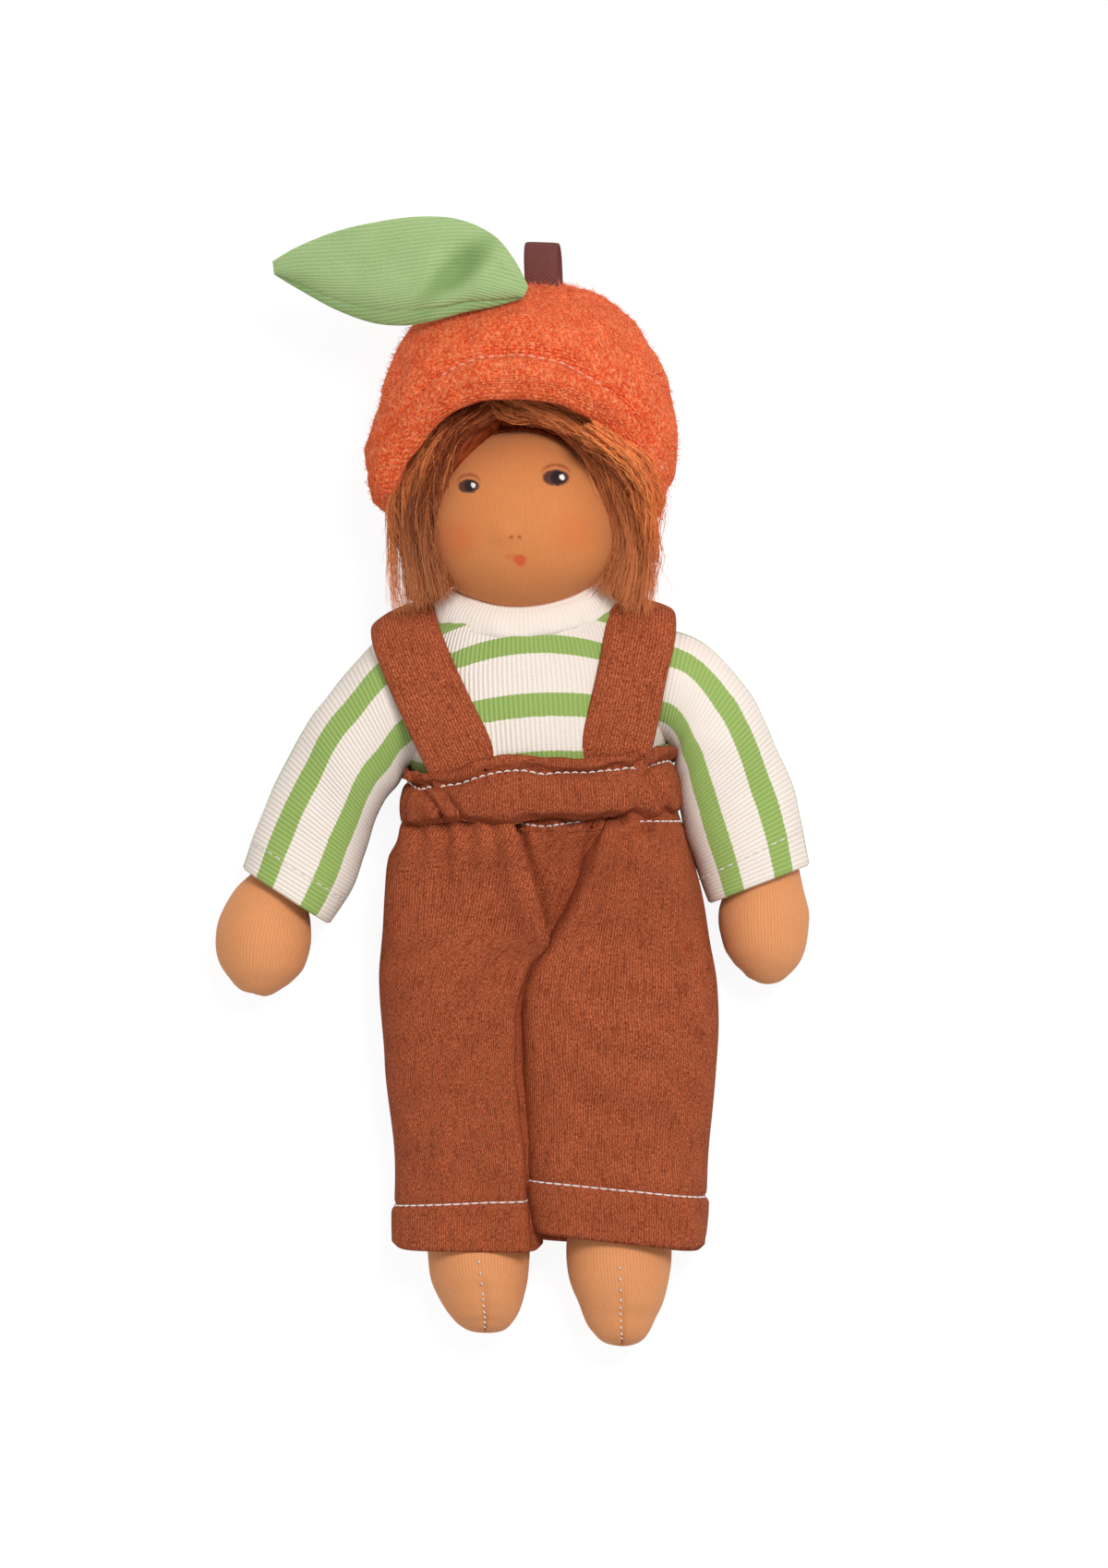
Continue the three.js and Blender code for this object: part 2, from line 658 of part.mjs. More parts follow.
function addLeg(name, side) {
  const limb = new THREE.Group();
  hips.add(limb);
  doll.updateMatrixWorld(true);
  const cloth = (grow, from, to) => legShape(trouserTable, side, grow, from, to, 20, bodySquareness);
  const trouserLeg = cloth(0, -hipRadius, trouserLegLength)
    .intersect(hipTrim(hipRadius))
    .subtract(cloth(-clothThickness, -hipRadius, trouserLegLength + gap).intersect(hipTrim(hipRadius - clothThickness)));
  add(limb, `${name}_trouser_leg`, trouserLeg, colours.trousers);
  const hemTop = trouserLegLength - trouserHem;
  const hem = cloth(-clothThickness - gap, hemTop, trouserLegLength).subtract(
    cloth(-clothThickness - gap - hemThickness, hemTop - gap, trouserLegLength + gap),
  );
  add(limb, `${name}_trouser_hem`, hem, colours.trousers);
  const filling = solid(bar(tieHole, 0, reach, 16).translate(side * legOut, 0, 0));
  const skin = legSkinShape(side, 0).subtract(legSkinShape(side, -skinThickness)).subtract(filling);
  add(limb, `${name}_leg_skin`, skin, colours.skin);
  add(limb, `${name}_leg_wool`, legSkinShape(side, -skinThickness - gap), colours.wool);
}

addLeg("left", 1);
addLeg("right", -1);

// Hat

const crownAngles = [0, 25, 46, 64, 80].map(degrees);

function hatShape(grow, drop, taper = 0, sides = 24) {
  const halfWidth = hatHalfWidth + grow;
  const halfDepth = hatHalfDepth + grow;
  const crown = crownAngles.map((angle) => {
    const height = (hatCrownHeight + grow) * Math.sin(angle);
    return outline(at(0, height, 0), halfWidth * Math.cos(angle), halfDepth * Math.cos(angle), sides);
  });
  const rim = outline(at(0, -drop, 0), halfWidth - taper, halfDepth - taper, sides);
  return solid(loft([rim, ...crown]));
}

const rimAngle = Math.atan2(rimFront - rimSide, hatHalfDepth);
const rimCut = (rise) => solid(below(0).rotateX(-rimAngle).translate(0, rimSide + rise, 0));
const hatInside = hatShape(-hatThickness, hatDrop + gap);
const hatShell = hatShape(0, hatDrop, rimTaper).subtract(hatInside).subtract(rimCut(0));
add(hat, "hat_crown", hatShell, colours.hat);
const nearRim = rimCut(hemHeight / Math.cos(rimAngle)).add(solid(below(hemHeight - hatDrop)));
const hatHem = hatShape(-hatThickness - gap, hatDrop)
  .subtract(hatShape(-hatThickness - gap - hemThickness, hatDrop + gap))
  .subtract(rimCut(0))
  .intersect(nearRim);
add(hat, "hat_hem_facing", hatHem, colours.hat);

function tapeShape(grow, width) {
  const radius = tapeLoopGap / 2 + tapeThickness + grow;
  const arch = tapeFoot + tapeLoopHeight - tapeLoopGap / 2 - tapeThickness;
  const roll = solid(bar(radius, -width / 2, width / 2, 16).rotateZ(Math.PI / 2).translate(0, arch, 0));
  return roll.add(solid(block(width, arch, 2 * radius, 0, arch / 2, 0)));
}

const tapeLoop = tapeShape(0, tapeWidth)
  .subtract(tapeShape(-tapeThickness, 2 * tapeWidth))
  .translate(tapeSideways, 0, 0)
  .subtract(hatShape(gap, hatDrop));
add(hat, "hat_stem_loop", tapeLoop, colours.tape, 0.75);

// Leaf, two panels over a thin wadding

const leafTable = [
  // share of the length, shares of the half width and half thickness, and the bow
  [0, 0.3, 0.5, 0],
  [0.08, 0.62, 0.75, 0.3],
  [0.25, 0.92, 0.95, 0.75],
  [0.45, 1, 1, 1],
  [0.66, 0.88, 0.9, 0.85],
  [0.86, 0.55, 0.6, 0.4],
  [0.97, 0.24, 0.3, 0.1],
  [1, 0.1, 0.16, 0],
];

function leafShape(grow) {
  const rings = leafTable.map(([share, wide, thick, bow]) => {
    const end = share === 0 ? -grow : share === 1 ? grow : 0;
    const middle = at(share * leafLength + end, -bow * leafBow, 0);
    const halfWidth = Math.max(wide * leafHalfWidth + grow, gap / 4);
    const halfThickness = Math.max(thick * leafHalfThickness + grow, gap / 4);
    return outline(middle, halfWidth, halfThickness, 12, 2, at(0, 1, 0));
  });
  return solid(loft(rings));
}

const leafSkin = leafShape(0).subtract(leafShape(-velourThickness));
const leafHalf = (sign) => solid(block(reach, reach, reach, 0, 0, sign * (gap / 4 + reach / 2)));
add(leaf, "leaf_top_panel", largest(leafSkin.intersect(leafHalf(1))), colours.leaf);
add(leaf, "leaf_under_panel", largest(leafSkin.intersect(leafHalf(-1))), colours.leaf);
add(leaf, "leaf_wadding", leafShape(-velourThickness - gap), colours.wool);

// Hair

const wigShell = headBall(gap + wigThickness).subtract(headBall(gap));
const beforeWig = (offset) =>
  solid(block(reach, reach, reach, 0, 0, reach / 2 + wigFront + offset).rotateX(wigSlope));
add(head, "wig_cap", wigShell.subtract(beforeWig(0)).subtract(solid(below(wigBottom))), colours.hair);
const faceHalfHeight = (faceTop + faceBottom) / 2;
const faceOpening = solid(
  bar(1, 0, reach, 24)
    .rotateX(Math.PI / 2)
    .scale(faceHalfWidth, faceHalfHeight, 1)
    .translate(0, faceTop - faceHalfHeight, 0)
    .rotateZ(faceLean),
);
const fringe = headBall(gap + fringeThickness)
  .subtract(headBall(gap))
  .intersect(beforeWig(gap))
  .subtract(faceOpening)
  .subtract(solid(below(lockTop + gap)));
const besideParting = (side) => solid(block(reach, reach, reach, parting + side * (gap / 2 + reach / 2), 0, 0));
add(head, "left_fringe", largest(fringe.intersect(besideParting(1))), colours.hair);
add(head, "right_fringe", largest(fringe.intersect(besideParting(-1))), colours.hair);

const lockTable = [
  [0, 0.4, 0.4],
  [0.15, 0.85, 0.8],
  [0.55, 1, 1],
  [0.9, 0.8, 0.8],
  [1, 0.5, 0.5],
];

function addLock(name, side) {
  const out = headRadius + gap + lockHalfWidth;
  const rings = lockTable.map(([share, wide, deep]) => {
    const height = THREE.MathUtils.lerp(lockBottom, lockTop, share);
    return outline(at(side * out, height, lockForward), wide * lockHalfWidth, deep * lockHalfDepth, 14);
  });
  const lock = solid(loft(rings)).subtract(headBall(gap + wigThickness + gap));
  add(head, `${name}_lock`, largest(lock), colours.hair);
}

addLock("left", 1);
addLock("right", -1);

const napeIn = gap + wigThickness + gap;
const nape = headBall(napeIn + napeThickness)
  .subtract(headBall(napeIn))
  .intersect(solid(block(reach, reach, reach, 0, 0, napeFront - reach / 2)))
  .subtract(solid(above(napeTop)))
  .subtract(solid(below(napeBottom)));
add(head, "nape_hair", largest(nape), colours.hair);

// The origin goes to the middle of the doll's outline, on the table

doll.updateMatrixWorld(true);
const outlineBox = new THREE.Box3().setFromObject(doll, true);
const middle = outlineBox.getCenter(at(0, 0, 0));
doll.position.set(-middle.x, -middle.y, -outlineBox.min.z);
doll.updateMatrixWorld(true);
export default doll;
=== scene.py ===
"""A stuffed doll in a striped rib sweater, dungarees and a fruit hat, lying on white paper, seen from above.

Lengths are millimetres unless a name says otherwise. x and y are measured from the middle of the hips and z
from the table, and colours are written as they look on a screen, 0 to 255.
"""

import json
from math import atan2, pi, radians

import bpy
import numpy as np
from mathutils import Matrix, Vector
from numpy import arange, array, broadcast_to, clip, column_stack, concatenate
from numpy import cos, cross, linspace, sin, stack


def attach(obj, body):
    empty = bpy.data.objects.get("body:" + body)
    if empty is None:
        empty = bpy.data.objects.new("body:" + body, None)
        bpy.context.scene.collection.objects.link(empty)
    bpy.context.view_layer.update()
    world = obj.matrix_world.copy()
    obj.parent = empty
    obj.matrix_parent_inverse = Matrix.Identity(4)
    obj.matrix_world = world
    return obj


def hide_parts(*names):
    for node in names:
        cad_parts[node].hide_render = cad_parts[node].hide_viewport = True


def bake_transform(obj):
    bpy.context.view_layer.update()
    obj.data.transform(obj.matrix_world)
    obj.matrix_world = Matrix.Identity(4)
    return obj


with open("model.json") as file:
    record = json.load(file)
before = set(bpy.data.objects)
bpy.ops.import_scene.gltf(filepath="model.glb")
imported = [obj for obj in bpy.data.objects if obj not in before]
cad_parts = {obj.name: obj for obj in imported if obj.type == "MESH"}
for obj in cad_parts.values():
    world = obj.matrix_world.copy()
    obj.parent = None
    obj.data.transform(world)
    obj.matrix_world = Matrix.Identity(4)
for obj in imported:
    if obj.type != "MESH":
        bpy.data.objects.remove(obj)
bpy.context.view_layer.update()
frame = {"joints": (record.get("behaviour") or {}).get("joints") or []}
rng = np.random.default_rng(11)
MM = 0.001

# Places in the CAD model


def joint(name):
    return next(j for j in frame["joints"] if j["name"] == name)


def joint_at(name):
    return array(joint(name)["pos_m"]) / MM


HIPS = (joint_at("left_leg_swing") + joint_at("right_leg_swing")) / 2
FROM_HIPS = array([HIPS[0], HIPS[1], 0])
NECK = joint_at("neck_turn")
UP = array(joint("neck_turn")["axis"])  # the leaning body's own upward direction
LEAN = atan2(-UP[0], UP[1])
NECK_HEIGHT, NECK_FORWARD = 84, 6.2

HEAD_FROM_NECK = (0, 23, 2.4)
HEAD_TURN, HEAD_TILT = radians(-11), radians(1)
HAT_RISE, HAT_TILT = 20.4, radians(-5)

shift, turned = Matrix.Translation, Matrix.Rotation
UPPER = shift(NECK) @ turned(LEAN, 4, "Z")
HEAD = UPPER @ shift(HEAD_FROM_NECK) @ turned(HEAD_TURN, 4, "Y") @ turned(HEAD_TILT, 4, "Z")
HAT = HEAD @ shift((0, HAT_RISE, 0)) @ turned(HAT_TILT, 4, "Z")
HEAD_MIDDLE = array(HEAD.translation)


def moved(matrix, points):
    """Points in a local measure, moved to the row frame, all in millimetres."""
    m = array(matrix)
    return np.asarray(points, float) @ m[:3, :3].T + m[:3, 3]


def from_body(points):
    """Points measured from the hip line in the leaning body, moved to the row frame."""
    return moved(UPPER, np.asarray(points, float) - (0, NECK_HEIGHT, NECK_FORWARD))


def from_hips(x, y, z):
    return stack(np.broadcast_arrays(x, y, z), -1) + FROM_HIPS


def metres(point):
    return tuple((np.asarray(point, float) * MM).tolist())


# Numbers


def ease(x, low=0.0, high=1.0):
    t = clip((np.asarray(x, float) - low) / (high - low), 0, 1)
    return t * t * (3 - 2 * t)


def bump(x, middle, half_width):
    return np.exp(-(((np.asarray(x, float) - middle) / half_width) ** 2))


def unit(vectors):
    return vectors / np.maximum(np.linalg.norm(vectors, axis=-1, keepdims=True), 1e-9)


def ring_angles(count):
    return arange(count) / count * 2 * pi


def curve(table, places):
    """Rows of (place, values...) read off smoothly at many places: one column per value."""
    table = array(table, float)
    places = clip(np.asarray(places, float), table[0, 0], table[-1, 0])
    k = clip(np.searchsorted(table[:, 0], places, "right") - 1, 0, len(table) - 2)
    t = ((places - table[k, 0]) / (table[k + 1, 0] - table[k, 0]))[..., None]
    a, b, c, d = (table[clip(k + i, 0, len(table) - 1), 1:] for i in (-1, 0, 1, 2))
    return 0.5 * (2 * b + (c - a) * t + (2 * a - 5 * b + 4 * c - d) * t**2 + (3 * b - a - 3 * c + d) * t**3)


def even(table, count):
    """Even places, 0 at the first row and 1 at the next, and the rows' values read off smoothly there."""
    places = linspace(0, len(table) - 1, count)
    return places, curve(column_stack([arange(len(table)), array(table, float)]), places)


LATTICE = np.random.default_rng(5).uniform(-1, 1, (32, 32, 32))


def lumps(points, size, seed=0):
    """Smooth random swellings from -1 to 1; size is one swelling's width in the points' measure."""
    p = np.asarray(points, float) / np.asarray(size, float) + 7.31 * seed
    whole = np.floor(p).astype(int)
    f = p - whole
    f = f * f * (3 - 2 * f)
    total = 0
    for corner in np.ndindex(2, 2, 2):
        shares = [np.abs(1 - corner[n] - f[..., n]) for n in range(3)]
        cell = tuple((whole[..., n] + corner[n]) % 32 for n in range(3))
        total = total + shares[0] * shares[1] * shares[2] * LATTICE[cell]
    return total


def oval(angles, square=2.0):
    """A unit outline with evenly spaced points; square 2 is a circle, and more is squarer."""
    fine = linspace(0, 2 * pi, 1441)
    x, y = (np.sign(a) * np.abs(a) ** (2 / square) for a in (cos(fine), sin(fine)))
    far = concatenate([[0], np.cumsum(np.hypot(np.diff(x), np.diff(y)))])
    places = np.asarray(angles) / (2 * pi) * far[-1]
    return np.interp(places, far, x), np.interp(places, far, y)


# Meshes from grids of points: one row for each ring


def grid_normals(grid):
    """The directions away from the rings' middles."""
    n = unit(cross(np.roll(grid, -1, 1) - np.roll(grid, 1, 1), np.gradient(grid, axis=0)))
    return -n if np.sum(n * (grid - grid.mean(1, keepdims=True))) < 0 else n


def make_mesh(name, points, faces, cloth, material, body=None):
    """points in millimetres; cloth gives each point's place on the cloth, which the materials read."""
    mesh = bpy.data.meshes.new(name)
    mesh.from_pydata((np.asarray(points) * MM).tolist(), [], faces)
    if cloth.shape[1] == 2:
        cloth = column_stack([cloth, np.zeros(len(cloth))])
    for attribute, values in (("cloth", cloth), ("face", points - HEAD_MIDDLE)):
        data = mesh.attributes.new(attribute, "FLOAT_VECTOR", "POINT").data
        data.foreach_set("vector", values.astype(np.float32).ravel())
    mesh.polygons.foreach_set("use_smooth", [True] * len(mesh.polygons))
    mesh.materials.append(material)
    mesh.update()
    obj = in_scene(name, mesh)
    if body:
        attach(obj, body)
    return obj


def in_scene(name, data):
    obj = bpy.data.objects.new(name, data)
    bpy.context.scene.collection.objects.link(obj)
    return obj


def grid_faces(rows, cols, wrap_rows=False, start=0):
    r, c = np.divmod(arange((rows if wrap_rows else rows - 1) * cols), cols)
    r2, c2 = (r + 1) % rows, (c + 1) % cols
    return (stack([r * cols + c, r * cols + c2, r2 * cols + c2, r2 * cols + c], 1) + start).tolist()


def end_faces(rows, cols, start=0):
    """Fans that close a grid's first and last ring on the two points that follow the grid."""
    last, tip = start + (rows - 1) * cols, start + rows * cols
    fans = [(tip, start + (c + 1) % cols, start + c) for c in range(cols)]
    return fans + [(tip + 1, last + c, last + (c + 1) % cols) for c in range(cols)]


def closed_blob(name, grid, cloth, material, body=None):
    """A grid of rings with a point at each end: the ends close on their rings' middles."""
    points, cloth = (
        concatenate([g.reshape(-1, g.shape[2]), [g[0].mean(0)], [g[-1].mean(0)]]) for g in (grid, cloth)
    )
    faces = grid_faces(*grid.shape[:2]) + end_faces(*grid.shape[:2])
    return make_mesh(name, points, outward(points, faces), cloth, material, body)


def outward(points, faces):
    """The faces, turned round if they face inwards."""
    total = 0.0
    for size in (3, 4):
        group = array([f for f in faces if len(f) == size], int).reshape(-1, size)
        for k in range(1, size - 1):
            total += np.sum(points[group[:, 0]] * cross(points[group[:, k]], points[group[:, k + 1]]))
    return [f[::-1] for f in faces] if total < 0 else faces


def cloth_tube(name, outer, cloth, thickness, material, body=None):
    """A tube of cloth with a rounded edge at each end. outer is its outside, open at both ends."""
    inner = outer - grid_normals(outer) * thickness
    top, rim = (
        (outer[end] + inner[end]) / 2 + unit(outer[end] - outer[near]) * thickness * 0.5
        for end, near in ((0, 1), (-1, -2))
    )
    grid = concatenate([[top], outer, [rim], inner[::-1]])
    uv = concatenate([cloth[:1], cloth, cloth[-1:], cloth[::-1]])
    points = grid.reshape(-1, 3)
    faces = outward(points, grid_faces(*grid.shape[:2], wrap_rows=True))
    return make_mesh(name, points, faces, uv.reshape(-1, 2), material, body)


def stands_for(piece, slot, *nodes, fill=None):
    """Hides the CAD parts that a piece takes the place of; its slot and, for a stuffed piece, how full it is
    are not used.
    """
    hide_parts(*nodes)


def spread(u, v):
    """Places on the cloth from the values round and down, each of them a row, a column or a whole grid."""
    return stack(np.broadcast_arrays(u, v), -1)


def path_lengths(grid):
    """The mean length down to each row, the lengths round each ring and each ring's girth."""
    down = np.cumsum(np.linalg.norm(np.diff(grid, axis=0), axis=2), 0).mean(1)
    steps = np.linalg.norm(np.roll(grid, -1, 1) - grid, axis=2)
    return concatenate([[0], down])[:, None], np.cumsum(steps, 1) - steps, steps.sum(1)[:, None]


def tidy_cloth(grid, seam=0.25):
    """Places on the cloth: u round the ring at its average girth, v down the middle line."""
    down, around, girth = path_lengths(grid)
    return spread((around / np.maximum(girth, 1e-6) + seam) % 1 * girth.mean(), down)


# Materials


def colour(red, green, blue):
    """A colour as it looks on a screen, 0 to 255, turned to the light values that the shaders use."""
    c = array([red, green, blue]) / 255
    c = np.where(c <= 0.04045, c / 12.92, ((c + 0.055) / 1.055) ** 2.4)
    return (*c.tolist(), 1.0)


class Finish:
    """One material's nodes, with short names for the kinds it is built from."""

    def __init__(self, name, rough=0.85, sheen=0.0, sheen_colour=(255, 255, 255), specular=0.25):
        self.material = bpy.data.materials.new(name)
        self.material.use_nodes = True
        self.tree = self.material.node_tree
        self.shader = self.tree.nodes["Principled BSDF"]
        self.set("Roughness", rough)
        self.set("Specular IOR Level", specular)
        self.set("Sheen Weight", sheen)
        self.set("Sheen Roughness", 0.5)
        self.set("Sheen Tint", sheen_colour)

    def set(self, socket_name, value):
        self.put(self.shader.inputs[socket_name], value)

    def put(self, socket, value):
        """Links another node's socket or sets a value; a colour is written as red, green and blue."""
        if isinstance(value, bpy.types.NodeSocket):
            self.tree.links.new(value, socket)
        else:
            socket.default_value = colour(*value) if socket.type == "RGBA" else value

    def node(self, kind, values, **settings):
        made = self.tree.nodes.new("ShaderNode" + kind)
        for key, value in settings.items():
            setattr(made, key, value)
        for key, value in values.items():
            self.put(made.inputs[key], value)
        return made

    def math(self, operation, a, b=0.0, c=0.0, clamp=False):
        return self.node("Math", {0: a, 1: b, 2: c}, operation=operation, use_clamp=clamp).outputs[0]

    def add(self, a, b, clamp=False):
        return self.math("ADD", a, b, clamp=clamp)

    def sub(self, a, b, clamp=False):
        return self.math("SUBTRACT", a, b, clamp=clamp)

    def mul(self, a, b):
        return self.math("MULTIPLY", a, b)

    def madd(self, a, b, c, clamp=False):
        return self.math("MULTIPLY_ADD", a, b, c, clamp)

    def place(self, name="cloth"):
        return self.node("Attribute", {}, attribute_name=name).outputs["Vector"]

    def split(self, vector):
        return self.node("SeparateXYZ", {0: vector}).outputs

    def cloth(self):
        where = self.place()
        return where, *self.split(where)[:2]

    def join(self, x, y, z=0.0):
        return self.node("CombineXYZ", {0: x, 1: y, 2: z}).outputs[0]

    def stretch(self, vector, x, y, z=1.0):
        return self.node("VectorMath", {0: vector, 1: (x, y, z)}, operation="MULTIPLY").outputs[0]

    def noise(self, vector, size, detail=2.0, rough=0.5):
        """Cloudy values near 0.5; size is one cloud's width in the vector's measure."""
        values = {"Vector": vector, "Scale": 1 / size, "Detail": detail, "Roughness": rough}
        return self.node("TexNoise", values).outputs["Fac"]

    def step(self, value, low, high):
        """0 below low, 1 above high and smooth between."""
        values = {"Value": value, "From Min": low, "From Max": high}
        return self.node("MapRange", values, interpolation_type="SMOOTHSTEP").outputs[0]

    def mix(self, share, a, b, blend="MIX"):
        return self.node("Mix", {0: share, 6: a, 7: b}, data_type="RGBA", blend_type=blend).outputs[2]

    def fleck(self, base, value, low, high, share, tint):
        """The base with up to a share of a tint where the value goes from low to high."""
        return self.mix(self.mul(self.step(value, low, high), share), base, tint)

    def shade(self, base, amount):
        """The base colour times a number."""
        return self.mix(1.0, base, self.join(amount, amount, amount), "MULTIPLY")

    def wave(self, value, pitch):
        """0 to 1 and back once in each pitch."""
        return self.madd(self.math("SINE", self.mul(value, 2 * pi / pitch)), 0.5, 0.5)

    def oval(self, x, y, middle, half, soft=0.25):
        """1 inside an oval and 0 outside, with an edge as soft as given."""
        dx, dy = (self.math("DIVIDE", self.sub(v, m), h) for v, m, h in zip((x, y), middle, half))
        far = self.math("SQRT", self.add(self.mul(dx, dx), self.mul(dy, dy)))
        return self.sub(1.0, self.step(far, 1 - soft, 1 + soft))

    def finish(self, base, height, relief=0.2, strength=1.0):
        """relief is the height's full swing in millimetres."""
        self.set("Base Color", base)
        values = {"Height": height, "Distance": relief * MM, "Strength": strength}
        self.set("Normal", self.node("Bump", values).outputs[0])
        return self.material


STITCH_COLUMN, STITCH_ROW = 0.65, 0.5  # the size of one stitch in the skin tricot
RIB, RIB_ROW = 1.13, 0.62
STRIPE_PERIOD, STRIPE = 14.6, 6.2
CREAM, GREEN = (244, 231, 219), (148, 174, 94)


def tricot(name, base, with_face=False):
    """Small knitted loops in columns, each a V."""
    f = Finish(name, rough=0.8, sheen=0.12, sheen_colour=(255, 225, 195), specular=0.2)
    where, u, v = f.cloth()
    across = f.wave(u, STITCH_COLUMN)
    slant = f.mul(f.math("ABSOLUTE", f.sub(across, 0.5)), STITCH_ROW)
    loops = f.madd(f.wave(f.add(v, slant), STITCH_ROW), 0.35, f.mul(across, 0.65))
    grain = f.noise(f.stretch(where, 1.0, 0.35), 0.7, 3, 0.7)
    tone = f.madd(f.noise(where, 14, 2), 0.10, f.madd(loops, 0.24, 0.84))
    skin = f.shade(base, f.madd(grain, 0.24, f.sub(tone, 0.16)))
    return f.finish(painted_face(f, skin) if with_face else skin, loops, 0.10, 0.7)


# The face, in millimetres from the head's middle.
EYES = (((-13.7, 8.6), (2.7, 1.8)), ((8.8, 10.7), (3.4, 2.1)))  # middle and half size
# Paint on an eye: shift right as a share of the eye, shift up, half sizes as shares, soft edge and colour.
EYE_PAINT = (
    (0, 0, 1, 1, 0.16, (84, 52, 46)),
    (0.12, 0.1, 0.55, 0.8, 0.2, (44, 28, 30)),
    (0.45, 0.2, 0.2, 0.34, 0.25, (244, 240, 236)),
)
NOSE_DOTS = ((-2.7, -4.7), (-0.6, -4.6))
MOUTH = (-1.2, -10.3)
CHEEKS = (((-17.0, -5.0), 0.4), ((14.0, -3.4), 0.26))  # middle and strength


def painted_face(f, skin):
    """Eyes, lids, nose dots, mouth and cheeks in cloth paint."""
    face = f.place("face")
    wobble = f.madd(f.noise(face, 0.7, 2), 0.9, -0.45)
    x, y, _ = f.split(face)
    x, y = f.add(x, wobble), f.sub(y, wobble)
    for cheek, strength in CHEEKS:
        skin = f.mix(f.mul(f.oval(x, y, cheek, (4.8, 4.4), 0.75), strength), skin, (212, 92, 48))
    for (cx, cy), (hx, hy) in EYES:
        lid = f.oval(x, y, (cx, cy + 1.0), (hx * 1.12, hy * 1.32), 0.12)
        under = f.oval(x, y, (cx, cy + 0.45), (hx * 1.12, hy * 1.2), 0.14)
        skin = f.mix(f.mul(f.sub(lid, under, clamp=True), 0.75), skin, (150, 62, 38))
        for right, up, wide, high, soft, paint in EYE_PAINT:
            spot = f.oval(x, y, (cx + hx * right, cy + up), (hx * wide, hy * high), soft)
            skin = f.mix(spot, skin, paint)
    for dot in NOSE_DOTS:
        skin = f.mix(f.mul(f.oval(x, y, dot, (0.62, 0.5), 0.4), 0.75), skin, (150, 72, 40))
    mx, my = MOUTH
    corner = f.mul(f.oval(x, y, (mx - 1.5, my + 0.7), (1.6, 0.6), 0.5), 0.5)
    upper = f.oval(x, y, (mx + 0.6, my), (1.7, 1.1), 0.4)
    lower = f.oval(x, y, (mx + 0.9, my - 0.6), (1.1, 1.2), 0.4)
    mouth = f.math("MAXIMUM", f.add(upper, lower, clamp=True), corner)
    return f.mix(f.mul(mouth, 0.8), skin, (205, 78, 44))


def rib_knit(name, stripe=STRIPE, depth=1.0):
    """Ribs across the stripes. u runs along a stripe and v across the stripes."""
    f = Finish(name, rough=0.82, sheen=0.1, specular=0.2)
    where, u, v = f.cloth()
    rib = f.wave(u, RIB)
    height = f.madd(f.wave(v, RIB_ROW), 0.18, f.mul(rib, 0.82))
    base, shade, dark = CREAM, 0.04, 0.87
    if stripe:
        edge = f.madd(f.noise(where, 0.5, 1), 0.7, -0.35)
        phase = f.math("PINGPONG", f.add(v, edge), STRIPE_PERIOD / 2)
        share = f.sub(1.0, f.step(phase, stripe / 2 - 0.12, stripe / 2 + 0.12))
        base, shade, dark = f.mix(share, CREAM, GREEN), f.madd(share, 0.14, 0.09), 0.91
    tone = f.madd(f.noise(where, 0.55, 2), 0.12, f.sub(f.madd(rib, shade, dark), 0.06))
    return f.finish(f.shade(base, tone), height, 0.4 * depth, 0.9 * depth)


def heather(name, darker=0.13):
    """Sweatshirt cloth of mixed rust yarn, with fine columns down v."""
    f = Finish(name, rough=0.9, sheen=0.08, sheen_colour=(225, 130, 80), specular=0.1)
    where, u, v = f.cloth()
    column = f.wave(f.madd(f.noise(f.stretch(where, 1.0, 0.2), 3.0, 2), 0.4, u), 0.69)
    loop = f.wave(f.add(v, f.mul(column, 0.35)), 0.62)
    fleck = f.noise(f.stretch(where, 1.5, 0.55), 0.42, 3, 0.75)
    light = f.noise(f.stretch(where, 1.2, 0.8), 0.5, 3, 0.8)
    long = f.noise(f.stretch(where, 0.9, 0.16), 0.9, 3, 0.7)
    base = f.mix(f.step(fleck, 0.4, 0.6), (120, 49, 27), (186, 97, 61))
    base = f.fleck(base, light, 0.54, 0.68, 0.65, (208, 130, 94))
    base = f.fleck(base, long, 0.5, 0.64, 0.5, (112, 44, 25))
    tone = f.madd(f.noise(where, 8, 4), 0.4, f.madd(loop, 0.08, f.madd(column, 0.52, 0.66)))
    height = f.madd(loop, 0.25, f.madd(column, 0.6, f.mul(fleck, 0.35)))
    return f.finish(f.shade(base, f.sub(tone, darker)), height, 0.26, 0.9)


def boiled_wool(name):
    """Felted knit: knobbly loops half lost under tangled fibres in several reds and oranges."""
    f = Finish(name, rough=0.95, sheen=0.2, sheen_colour=(255, 140, 90), specular=0.08)
    _, u, v = f.cloth()
    where = f.place("face")
    loop = f.mul(f.wave(u, 1.5), f.wave(v, 1.25))
    fibre = f.noise(where, 0.7, 4, 0.75)
    pale = f.noise(f.stretch(where, 1.0, 0.6, 1.0), 0.8, 4, 0.8)
    tuft, worn = f.noise(where, 3.2, 3), f.noise(where, 6.0, 3)
    base = f.mix(f.step(fibre, 0.4, 0.6), (212, 64, 30), (250, 118, 62))
    base = f.fleck(base, f.noise(where, 1.6, 4, 0.7), 0.48, 0.62, 0.7, (206, 60, 36))
    base = f.fleck(base, pale, 0.48, 0.62, 0.74, (252, 160, 114))
    base = f.fleck(base, worn, 0.48, 0.7, 0.16, (250, 148, 104))
    base = f.fleck(base, worn, 0.5, 0.3, 0.2, (202, 56, 32))
    tone = f.madd(tuft, 0.46, f.madd(loop, 0.3, 0.77))
    height = f.madd(tuft, 0.5, f.madd(loop, 0.35, f.mul(fibre, 0.5)))
    return f.finish(f.shade(base, tone), height, 1.2, 0.9)


